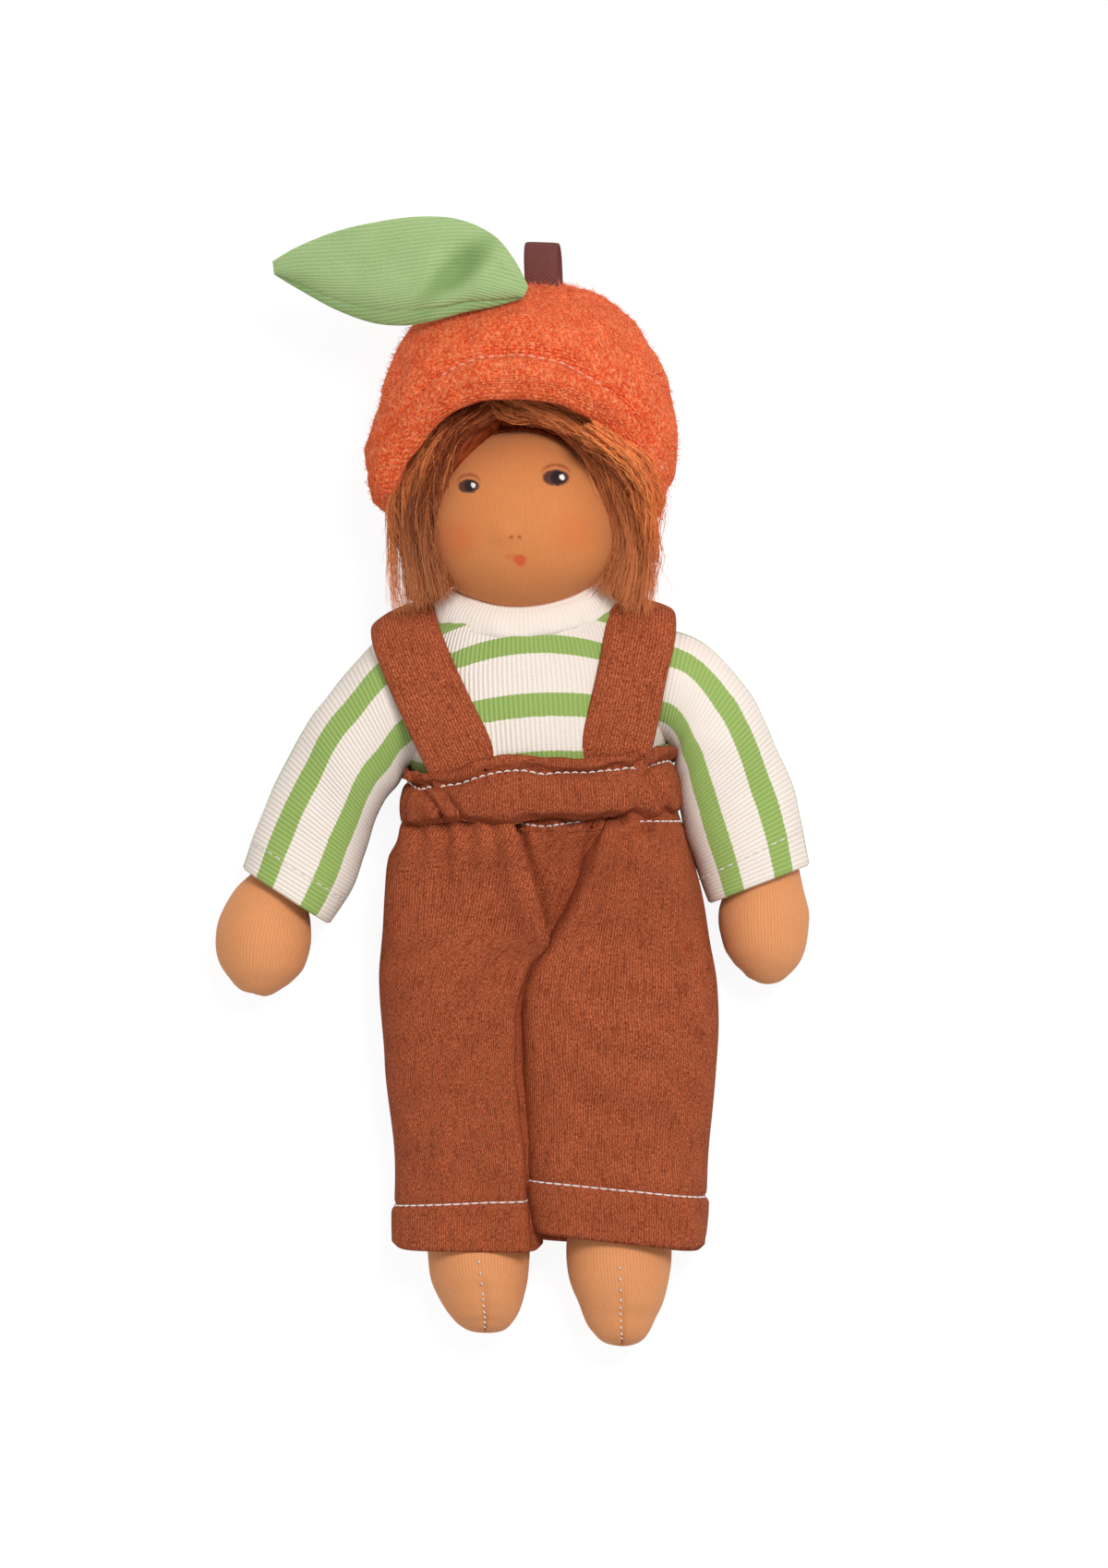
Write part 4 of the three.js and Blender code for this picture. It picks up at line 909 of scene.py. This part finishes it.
def trouser_leg(side):
    s, left = SIDES[side], side == "left"
    table = array(TROUSERS[side], float)
    cols = 320
    down = linspace(0, 1, 180)
    ys = table[0, 0] + (table[-1, 0] - table[0, 0]) * down
    low_x, high_x, bottom, top = curve(table[::-1], ys).T
    middles = from_hips((low_x + high_x) / 2, ys, (bottom + top) / 2)
    half, tall = (high_x - low_x) / 2, (top - bottom) / 2
    grid = loft(middles, half, tall, 2.4, cols)
    boxy = loft(middles, half, tall, 4.0 if left else 5.0, cols)
    grid += (boxy - grid) * ease(-s * cos(ring_angles(cols)), -0.3, 0.6)[None, :, None]
    n = grid_normals(grid)
    x, y = grid[..., 0] - HIPS[0], grid[..., 1] - HIPS[1]
    upper = ease(grid[..., 2], 16, 30)
    move, slide = trouser_folds(side, x, y, upper)
    move += lumps(grid, (9, 30, 16), 20 + s) * 1.1 + lumps(grid, (18, 24, 20), 30 + s) * 1.7
    pleats = sin(x * 0.95 + 0.6 * sin(y * 0.2)) * ease(y, 10, 29) * 0.8
    move += (pleats + lumps(grid, (30, 7, 30), 40 + s) * 0.5 * ease(-y, 15, 40)) * upper
    share = clip((x - table[-1, 1]) / (table[-1, 2] - table[-1, 1]), 0, 1)
    share = share if left else 1 - share
    down = down[:, None]
    if left:
        grid[..., 1] += (2.4 - 1.5 * share) * ease(grid[..., 2], 8, 20) * ease(down, 0.86, 1.0)
    grid[..., 1] += 1.8 * np.abs(cos(ring_angles(cols))) ** 10 * ease(down, 0.95, 1.0)
    slip = (3.4 if left else -0.6) * share * ease(down, 0.4, 1.0)
    grid[..., 1] -= slip
    y = y - slip
    outer_hem, inner_hem = HEM_LINE[side]
    hem = inner_hem + (outer_hem - inner_hem) * share
    move += 0.7 * ease(hem - y, -0.4, 0.6) - 0.55 * bump(y, hem, 0.9)
    grid = grid + n * move[..., None]
    grid[..., 0] += slide
    grid = above(grid, 0.3)
    piece = cloth_tube(f"{side}_trouser_half", grid, tidy_cloth(grid), 1.6, HEATHER)
    start, end = (metres(from_hips(0, place, 19.4)) for place in (12, -8))
    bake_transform(piece)
    stands_for(piece, "sweatshirt_cloth", *(f"{side}_trouser_{part}" for part in ("seat", "leg", "hem")))
    path, normals = level_line(grid, n, hem - y, range(2, cols // 2 - 2))
    dashes(f"{side}_trouser_hem_stitches", path, normals, f"{side}_leg", 2.4, 2.15, 0.25)
    for part, (low, high) in WAIST_SEAM[side].items():
        columns = [c for c in range(1, cols // 2) if low < x[4, c] < high]
        path, normals = level_line(grid, n, 28.9 - 1.3 * bump(x, -1.4, 6) - (grid[..., 1] - HIPS[1]), columns)
        dashes(f"{part}_waist_stitches", path, normals, "torso", *BAND_STITCHES)


# Head

HEAD_RADIUS = 24.2


def head():
    lat = np.radians(linspace(-87, 87, 110))[:, None]
    degrees = np.degrees(lat)
    turn = ring_angles(180)
    full = HEAD_RADIUS * (1 + 0.012 * bump(degrees, -22, 26))
    y = full * sin(lat) * np.where(lat < 0, 0.985, 1.0)
    wide = 1.01 + 0.05 * ease(cos(turn), -0.2, 1.0) + 0.05 * bump(degrees, -40, 20)
    x, z = full * cos(lat) * cos(turn) * wide, full * cos(lat) * sin(turn) * 0.985
    grid = stack(np.broadcast_arrays(x, y, z), 2)
    nose = bump(grid[..., 0], -0.2, 3.4) * bump(grid[..., 1], -3.4, 2.8) * ease(grid[..., 2], 10, 20)
    grid[..., 2] += nose * 1.1 + lumps(grid, 12, 3) * 0.18
    cloth = spread(turn * HEAD_RADIUS, lat * HEAD_RADIUS)
    piece = closed_blob("head_ball", moved(HEAD, grid), cloth, FACE, "head")
    stands_for(piece, "cotton_tricot", "head_skin", "head_wool_core", fill=1.0)


def neck():
    heights = linspace(66, 92, 26)
    middles = stack([0 * heights, heights, NECK_FORWARD + 2.4 * ease(heights, 78, 92)], 1)
    width = 7.6 + 1.6 * ease(-heights, -76, -66) + 1.2 * ease(heights, 86, 92) - 0.9 * bump(heights, 83, 1.6)
    grid = from_body(loft(middles, width, width, 2, 48))
    piece = closed_blob("stuffed_neck", grid, tidy_cloth(grid), SKIN, "neck")
    stands_for(piece, "cotton_tricot", "neck", "neck_tie_thread", fill=1.0)


# Hair

HAIR_SHELL = 25.6
HAIRLINE, HAIR_SIDES = 71, 122  # degrees from the face's middle to the wig's edge, at the top and at the chin
STRANDS, STRAY_STRANDS = 2200, 420
LOCKS = 26  # groups of hairs that wave together
STRAND_RADIUS = 0.13
# Each side's hair from the parting down: its edge on the face and its outer edge, with their height.
HAIR_EDGES = {
    "right": (
        (
            (-6, 129.5, 34), (-9, 140, 45), (-14.5, 135.4, 48), (-20, 131.4, 48.6), (-25.2, 122.4, 48),
            (-28.2, 112, 45.6), (-28, 100, 42.4), (-24.6, 87, 42.4),
        ),
        (
            (-22, 126.5, 34), (-15, 140, 45), (-26, 135, 44), (-35, 126, 42), (-41, 116, 40),
            (-41, 106, 37.5), (-39, 96, 37), (-38.2, 83.2, 38),
        ),
    ),
    "left": (
        (
            (-20, 127.5, 34), (-20, 140, 46), (-12.5, 134.2, 48.5), (-3, 132.4, 49.5), (8, 126, 50.6),
            (15.2, 114, 48.6), (17.2, 101, 43.5), (12.4, 88, 42.6),
        ),
        (
            (10, 124.5, 36), (-4, 139, 45), (2, 138, 50), (14, 130, 51), (22.4, 118.5, 49.5),
            (25.4, 106.5, 44.5), (25.2, 95, 41), (24.4, 83, 40.5),
        ),
    ),
}
# Fine pale hairs that have come out over the hat's rim on the left.
STRAY_EDGES = (
    (
        (4, 130, 57), (14, 123, 57), (20.5, 115, 54), (23.6, 106, 49), (24, 96, 43), (23.6, 86, 40),
    ),
    (
        (9, 134, 60), (19, 127, 58.6), (25.6, 118.5, 55), (28.2, 109, 49), (26.8, 97, 43), (25.6, 86, 39),
    ),
)


def wig():
    """The matted hair: a cap round the head, open over the face."""
    turn = ring_angles(150)
    start = np.radians(HAIRLINE + (HAIR_SIDES - HAIRLINE) * ease((1 - sin(turn)) / 2, 0, 0.8))
    t = linspace(0, 1, 46)[:, None]
    polar = start + (radians(176) - start) * t
    cloud = lumps(stack(np.broadcast_arrays(polar * 8, turn * 9, 0.0), 2), 2.2)
    thick = HAIR_SHELL - 1.0 + 2.6 * ease(t, 0, 0.15) + cloud * 0.5
    direction = stack([sin(polar) * cos(turn), sin(polar) * sin(turn), cos(polar)], 2)
    outer = above(direction * thick[..., None], 0.6 - HEAD_MIDDLE[2])
    inner = above(direction * (HEAD_RADIUS + 0.4), 1.4 - HEAD_MIDDLE[2])
    cloth = spread(turn * HAIR_SHELL, concatenate([polar[::-1], polar]) * HAIR_SHELL)
    piece = closed_blob("wig", moved(HEAD, concatenate([inner[::-1], outer])), cloth, HAIR_BASE, "head")
    stands_for(piece, "mohair", "wig_cap", "nape_hair")


def hair_sheet(side):
    """The thick combed hair that the loose strands lie on."""
    (along, a), (_, b) = (even(edge, 80) for edge in HAIR_EDGES[side])
    half = np.linalg.norm(b - a, axis=1) / 2
    across = (b - a) / (2 * half)[:, None]
    lift = unit(cross(across, np.gradient((a + b) / 2, axis=0)))
    lift *= np.sign(lift[:, 2:3])
    thick = 1.2 + 3.2 * sin(clip((along - 1) / 6, 0, 1) * pi * 0.86 + 0.2) + 3.4 * bump(along, 2.8, 1.8)
    middles = (a + b) / 2 - lift * (thick * 1.02)[:, None] + FROM_HIPS
    taper = 1 - 0.75 * ease(along, 6.6, 7.0)
    grid = loft(middles, half * taper, thick * taper, 2.2, 90, across, lift)
    sideways = cos(ring_angles(90))
    streaks = sin(sideways * 17 + sin(along * 1.1)[:, None] * 0.8) * 0.35
    grid = grid + grid_normals(grid) * (streaks + lumps(grid, (4, 14, 8), 25) * 0.6)[..., None]
    cloth = spread(half[:, None] * sideways, along[:, None] * 9)
    piece = closed_blob(f"{side}_combed_hair", grid, cloth, HAIR_BASE, "head")
    stands_for(piece, "mohair", f"{side}_lock", f"{side}_fringe")


def strands(name, edges, count, rise, spread_out, pale):
    """Loose hairs between two edges: thin tapering tubes with a little curl."""
    t = linspace(0, 1, 24)
    a, b = (even(edge, 80)[1] for edge in edges)
    share = rng.uniform(-0.07, 1.07, count)
    first = 0.06 + rng.uniform(0, 0.3, count) ** 1.4
    last = clip(first + rng.uniform(0.4, 1.0, count), 0.5, 1.0)
    group = (clip(share, 0, 0.999) * LOCKS).astype(int)
    tint = rng.normal(0, 0.22, LOCKS)
    pick = clip(0.36 + pale + tint[group] + rng.normal(0, 0.2, count) + 0.5 * (share - 0.5), 0, 1)
    at = (first[:, None] + (last - first)[:, None] * t) * 79
    low = clip(at.astype(int), 0, 78)
    f = (at - low)[..., None]
    way_a, way_b = (edge[low] * (1 - f) + edge[low + 1] * f for edge in (a, b))
    s = (share[:, None] + rng.normal(0, 0.05, count)[:, None] * (t - 0.4))[..., None]
    path = way_a * (1 - s) + way_b * s
    arch = 1.0 - (2 * clip(s, 0, 1) - 1) ** 2
    path[..., 2:] += (arch - 1) * 3.2 + rise + rng.uniform(-0.7, 0.7, count)[:, None, None]
    phase = rng.uniform(0, 2 * pi, count)[:, None]
    curl = rng.normal(0, 1, (count, 3)) * spread_out
    wave = sin(t * rng.uniform(5, 11, (count, 1)) + phase)[..., None] * 0.5
    path = path + curl[:, None] * (wave + 1.3 * t[:, None] ** 3)
    swing, start = rng.normal(0, 1.1, (LOCKS, 3)), rng.uniform(0, 6, LOCKS)
    path = path + swing[group][:, None] * sin(at / 79 * 13 + start[group][:, None])[..., None]
    crimp = sin(t * rng.uniform(26, 44, (count, 1)) + 3 * phase)[..., None] * 0.22
    path = path + crimp * rng.normal(0, 1, (count, 1, 3)) + FROM_HIPS
    thick = STRAND_RADIUS * (1 - 0.8 * t**2) * rng.uniform(0.7, 1.3, (count, 1))
    worn = rng.uniform(0.1, 1.0, (count, 1))
    threads(name, path, thick, (pick[:, None], at / 79, worn), HAIR, "head")


def threads(name, path, thick, cloth, material, body):
    """Many thin tubes in one mesh, from a row of points for each and three values for their material."""
    count, rows = path.shape[:2]
    sides = 3
    along = unit(np.gradient(path, axis=1))
    side = unit(cross(along, (0.1, 0.2, 1.0)))
    up = cross(side, along)
    spin = ring_angles(sides)[:, None]
    out = side[:, :, None] * cos(spin) + up[:, :, None] * sin(spin)
    ring = path[:, :, None] + out * thick[..., None, None]
    per = rows * sides
    starts = (arange(count) * per)[:, None, None]
    walls = (array(grid_faces(rows, sides)) + starts).reshape(-1, 4).tolist()
    ends = (array([(2, 1, 0), (per - 3, per - 2, per - 1)]) + starts).reshape(-1, 3).tolist()
    places = stack([broadcast_to(c, (count, rows)) for c in cloth], 2)
    places = np.repeat(places.reshape(-1, 3), sides, axis=0)
    make_mesh(name, ring.reshape(-1, 3), walls + ends, places, material, body)


def hair():
    wig()
    # The doll's left side gets paler tints than the right: painted light for the side that the key lamp
    # lights.
    for side, pale in (("left", 0.34), ("right", -0.04)):
        hair_sheet(side)
        strands(f"{side}_loose_hair", HAIR_EDGES[side], STRANDS, 0.5, 0.85, pale)
    strands("stray_hair", STRAY_EDGES, STRAY_STRANDS, 1.8, 1.0, 0.5)


# Hat: its outline in its own measure: height, left edge, right edge and half depth.
HAT_RINGS = (
    (-26, -33, 36, 27), (-16, -36.4, 39.2, 29.6), (-6, -38, 41, 31.2), (5, -36, 40.4, 31.8),
    (12, -34.4, 39, 31.4), (19.3, -32.2, 36.8, 29.8), (25, -30.2, 34.2, 27.4), (30.8, -27, 30.6, 23.6),
    (35, -22, 26.6, 19.6), (38, -16, 22.2, 15.6), (40.2, -8.6, 17.8, 11.2), (41.8, -0.4, 13, 6.2),
    (42.4, 4.4, 8.6, 2.2),
)
# The rim's height at angles round the hat, in degrees from its right side over the front.
HAT_RIM = (
    (0, -21), (20, -13), (40, 2.4), (60, 10.8), (75, 13.2), (90, 13.8), (105, 12.2), (120, 7.2),
    (135, -2.6), (150, -12.4), (165, -17), (180, -19), (225, -23), (270, -24), (315, -23), (360, -21),
)
HAT_HEM = 8.8
HAT_CLOTH = 2.6
HAT_FIBRES = 9000
HAT_LUMPS = (((16, 12, 16), 2, 1.5), ((6, 6, 6), 5, 0.5), ((2.2, 2.2, 2.2), 6, 0.3))  # size, seed and height
HAT_TURN = array(HAT)[:3, :3].T


def hat_grid():
    """The hat's outside, its normals, and how far up the cloth each place is from the rim."""
    rows, cols = 110, 200
    turn = arange(cols) / cols * 360
    rim = curve(HAT_RIM, turn)[:, 0]
    t = linspace(0, 1, rows)[:, None]
    height = rim + (HAT_RINGS[-1][0] - rim) * sin(t * pi / 2) ** 0.9
    left, right, deep = np.moveaxis(curve(HAT_RINGS, height), 2, 0)
    c, s = oval(np.radians(turn), 2.15)
    grid = stack([(left + right) / 2 + (right - left) / 2 * c, height, deep * s], 2)
    n = grid_normals(grid)
    up = concatenate([np.zeros((1, cols)), np.cumsum(np.linalg.norm(np.diff(grid, axis=0), axis=2), 0)])
    hem = 2.0 * (1 - ease(up, HAT_HEM - 2.6, HAT_HEM + 0.2)) - 1.5 * bump(up, HAT_HEM + 0.3, 1.5)
    move = hem * (0.25 + 0.75 * ease(grid[..., 2], 4, 20)) + 1.2 * bump(up, HAT_HEM + 8, 7)
    move -= 2.2 * (1 - ease(up, 0, 3.4)) ** 2
    move += sum(lumps(grid, size, seed) * high for size, seed, high in HAT_LUMPS)
    return grid + n * (move * (1 - ease(t, 0.9, 1.0)))[..., None], n, up


def hat():
    grid, n, up = hat_grid()
    inner = grid - n * (HAT_CLOTH + 2.4 * (1 - ease(up, HAT_HEM - 1, HAT_HEM + 1)))[..., None]
    bend = linspace(0, pi, 9)[1:-1, None, None]
    lip = grid[0] * (1 + cos(bend)) / 2 + inner[0] * (1 - cos(bend)) / 2
    lip = lip + unit(grid[0] - grid[1]) * 2.8 * sin(bend)
    world = above(moved(HAT, concatenate([inner[::-1], lip[::-1], grid])), 0.3)
    piece = closed_blob("felted_hat", world, tidy_cloth(world), WOOL, "hat")
    stands_for(piece, "boiled_wool", "hat_crown", "hat_hem_facing")
    hat_fibres(world[-len(grid) :], n @ HAT_TURN)
    path, normals = level_line(grid, n, up - HAT_HEM, range(8, 92))
    dashes("hat_hem_stitches", moved(HAT, path), normals @ HAT_TURN, "hat", 2.7, 2.0, 0.3, HAT_THREAD)


def hat_fibres(surface, normals):
    rows, cols = surface.shape[:2]
    spot = rng.integers(0, int(rows * 0.9), HAT_FIBRES), rng.integers(0, cols, HAT_FIBRES)
    t = linspace(0, 1, 5)[:, None]
    lean = rng.normal(0, 1, (HAT_FIBRES, 1, 3))
    curl = rng.normal(0, 0.5, (HAT_FIBRES, 1, 3)) * sin(t * 5)
    reach = (normals[spot][:, None] * 0.35 + lean * 0.45) * t * rng.uniform(0.5, 1.4, (HAT_FIBRES, 1, 1))
    path = above(surface[spot][:, None] + reach + curl * t * 0.6, 0.4)
    pick = rng.uniform(0, 1, (HAT_FIBRES, 1))
    threads("hat_fibres", path, 0.075 * (1 - 0.6 * t.T), (pick, 0, 0), WOOL_FIBRE, "hat")


# The stem's tape along its middle, in the hat's measure.
STEM = (
    (8, 36, 5), (7.8, 42, 5.4), (7.6, 47.4, 5.4), (7.5, 50.6, 4), (7.5, 51, 1.4), (7.6, 47.8, -0.6),
    (7.8, 42, -1), (8, 36, -0.8),
)


def stem_loop():
    """A tape folded into a standing loop at the crown's top."""
    along, middles = even(STEM, 60)
    way = unit(np.gradient(middles, axis=0))
    wide = array([1.0, -0.04, 0.0])
    across = unit(wide - way * (way @ wide)[:, None])
    grid = loft(middles, 0 * along + 4.4, 0 * along + 0.62, 5, 48, across, cross(way, across))
    cloth = spread(cos(ring_angles(48)) * 4.8, along[:, None] * 5)
    piece = closed_blob("stem_tape_loop", moved(HAT, grid), cloth, TAPE, "hat")
    stands_for(piece, "twill_tape", "hat_stem_loop")


# Leaf from the base to the tip: upper and lower edge seen from above, and the middle's height and half depth.
LEAF_EDGES = (
    (-5.4, 166.6, -6.6, 163.6, 57, 1), (-9, 173.6, -13.6, 161.8, 56.2, 3),
    (-14.4, 180, -21.4, 160.6, 54.8, 4.2), (-23.4, 184.2, -30, 158.6, 52.6, 5),
    (-34, 185, -37.4, 157.6, 50, 5.4), (-45.2, 183.6, -45.8, 158.4, 47.4, 5),
    (-55.8, 181.2, -55.4, 161.8, 44.6, 4.2), (-65.4, 177.4, -65.2, 167, 42, 3),
    (-71.6, 173.8, -71.2, 170.4, 40.4, 0.8),
)
LEAF_PANELS = (  # name, how much lower it lies, width and thickness as shares, material and nodes
    ("leaf_top", 0.0, 0.99, 1.0, LEAF_TOP, ("leaf_top_panel", "leaf_wadding")),
    ("leaf_underside", 2.0, 0.985, 0.9, LEAF_UNDER, ("leaf_under_panel",)),
)


def leaf():
    cols = 96
    along, middles, half, deep, across = spanned(LEAF_EDGES, 90)
    c, s = cos(ring_angles(cols)), sin(ring_angles(cols))
    down, belly = along[:, None], sin(along / 8 * pi)[:, None]
    for name, drop, wide, thick, finish, nodes in LEAF_PANELS:
        grid = loft(middles + FROM_HIPS, half * wide, deep * thick, 2.1, cols, across)
        dent = bump(down, 2.7, 0.6) * bump(c, 0.0, 0.6) * 4.2
        ridge = bump(down, 1.2, 0.7) * bump(c, 0.6, 0.25) * 0.8
        grid[..., 2] += ease(s, 0, 0.5) * (ridge - dent) + lumps(grid, (12, 9, 30), 14) * 0.8 - drop
        grid[..., 1] += -1.0 * belly if drop else 2.4 * belly**0.7 * ease(-c, 0.1, 1.0)
        piece = closed_blob(name, grid, spread(half[:, None] * c, down * 8.4), finish, "leaf")
        stands_for(piece, "velour", *nodes, fill=0.7)


# Surroundings

VIEW_HEIGHT = 407.5  # what the photograph's 1698 rows cover
VIEW_MIDDLE = (1.2, 38.6, 25.0)
CAMERA_DISTANCE = 3000.0
SENSOR_HEIGHT = 24


def camera():
    data = bpy.data.cameras.new("camera")
    data.sensor_fit = "VERTICAL"
    data.sensor_height = SENSOR_HEIGHT
    data.lens = SENSOR_HEIGHT * CAMERA_DISTANCE / VIEW_HEIGHT
    data.clip_end = 20
    obj = in_scene("camera", data)
    obj.location = metres(from_hips(*VIEW_MIDDLE) + (0, 0, CAMERA_DISTANCE))
    bpy.context.scene.camera = obj


def lamp(name, place, target, size, power):
    """A round lamp, all in metres and watts."""
    data = bpy.data.lights.new(name, "AREA")
    data.shape = "DISK"
    data.size = size
    data.energy = power
    obj = in_scene(name, data)
    obj.location = place
    obj.rotation_euler = (Vector(target) - Vector(place)).to_track_quat("-Z", "Y").to_euler()


def surroundings():
    lamp("key", (0.4, 0.62, 1.62), (0, 0.02, 0), 0.6, 22.0)
    lamp("fill", (-0.3, -0.6, 1.6), (0, -0.05, 0), 1.2, 4.0)
    world = bpy.data.worlds.new("world")
    world.use_nodes = True
    colour_in, strength_in = world.node_tree.nodes["Background"].inputs[:2]
    colour_in.default_value, strength_in.default_value = (1, 1, 1, 1), 0.42
    bpy.context.scene.world = world
    mesh = bpy.data.meshes.new("paper")
    mesh.from_pydata([(-2, -2, 0), (2, -2, 0), (2, 2, 0), (-2, 2, 0)], [], [(0, 1, 2, 3)])
    mesh.materials.append(paper())
    in_scene("paper", mesh)


def paper():
    """White paper that keeps the doll's shadow and shows as plain white to the camera and in reflections."""
    f = Finish("white_paper", rough=0.9, specular=0.5)
    f.set("Base Color", (250, 250, 250))
    rays = f.node("LightPath", {}).outputs
    seen = f.math("MAXIMUM", rays["Is Camera Ray"], rays["Is Glossy Ray"])
    seen = f.math("MAXIMUM", seen, rays["Is Transmission Ray"])
    glow = f.node("Emission", {"Strength": 1.06}).outputs[0]
    mixed = f.node("MixShader", {0: f.mul(seen, 0.86), 1: f.shader.outputs[0], 2: glow}).outputs[0]
    f.put(f.tree.nodes["Material Output"].inputs["Surface"], mixed)
    return f.material


def main():
    camera()
    surroundings()
    sweater_body()
    sweater_neckband()
    for side in SIDES:
        sleeve(side)
    for side in SIDES:
        hand_and_foot(side)
    waistband()
    for side in SIDES:
        strap(side)
        trouser_leg(side)
    for build in (neck, head, hair, hat, stem_loop, leaf):
        build()
    bpy.context.scene.view_settings.view_transform = "Standard"


main()
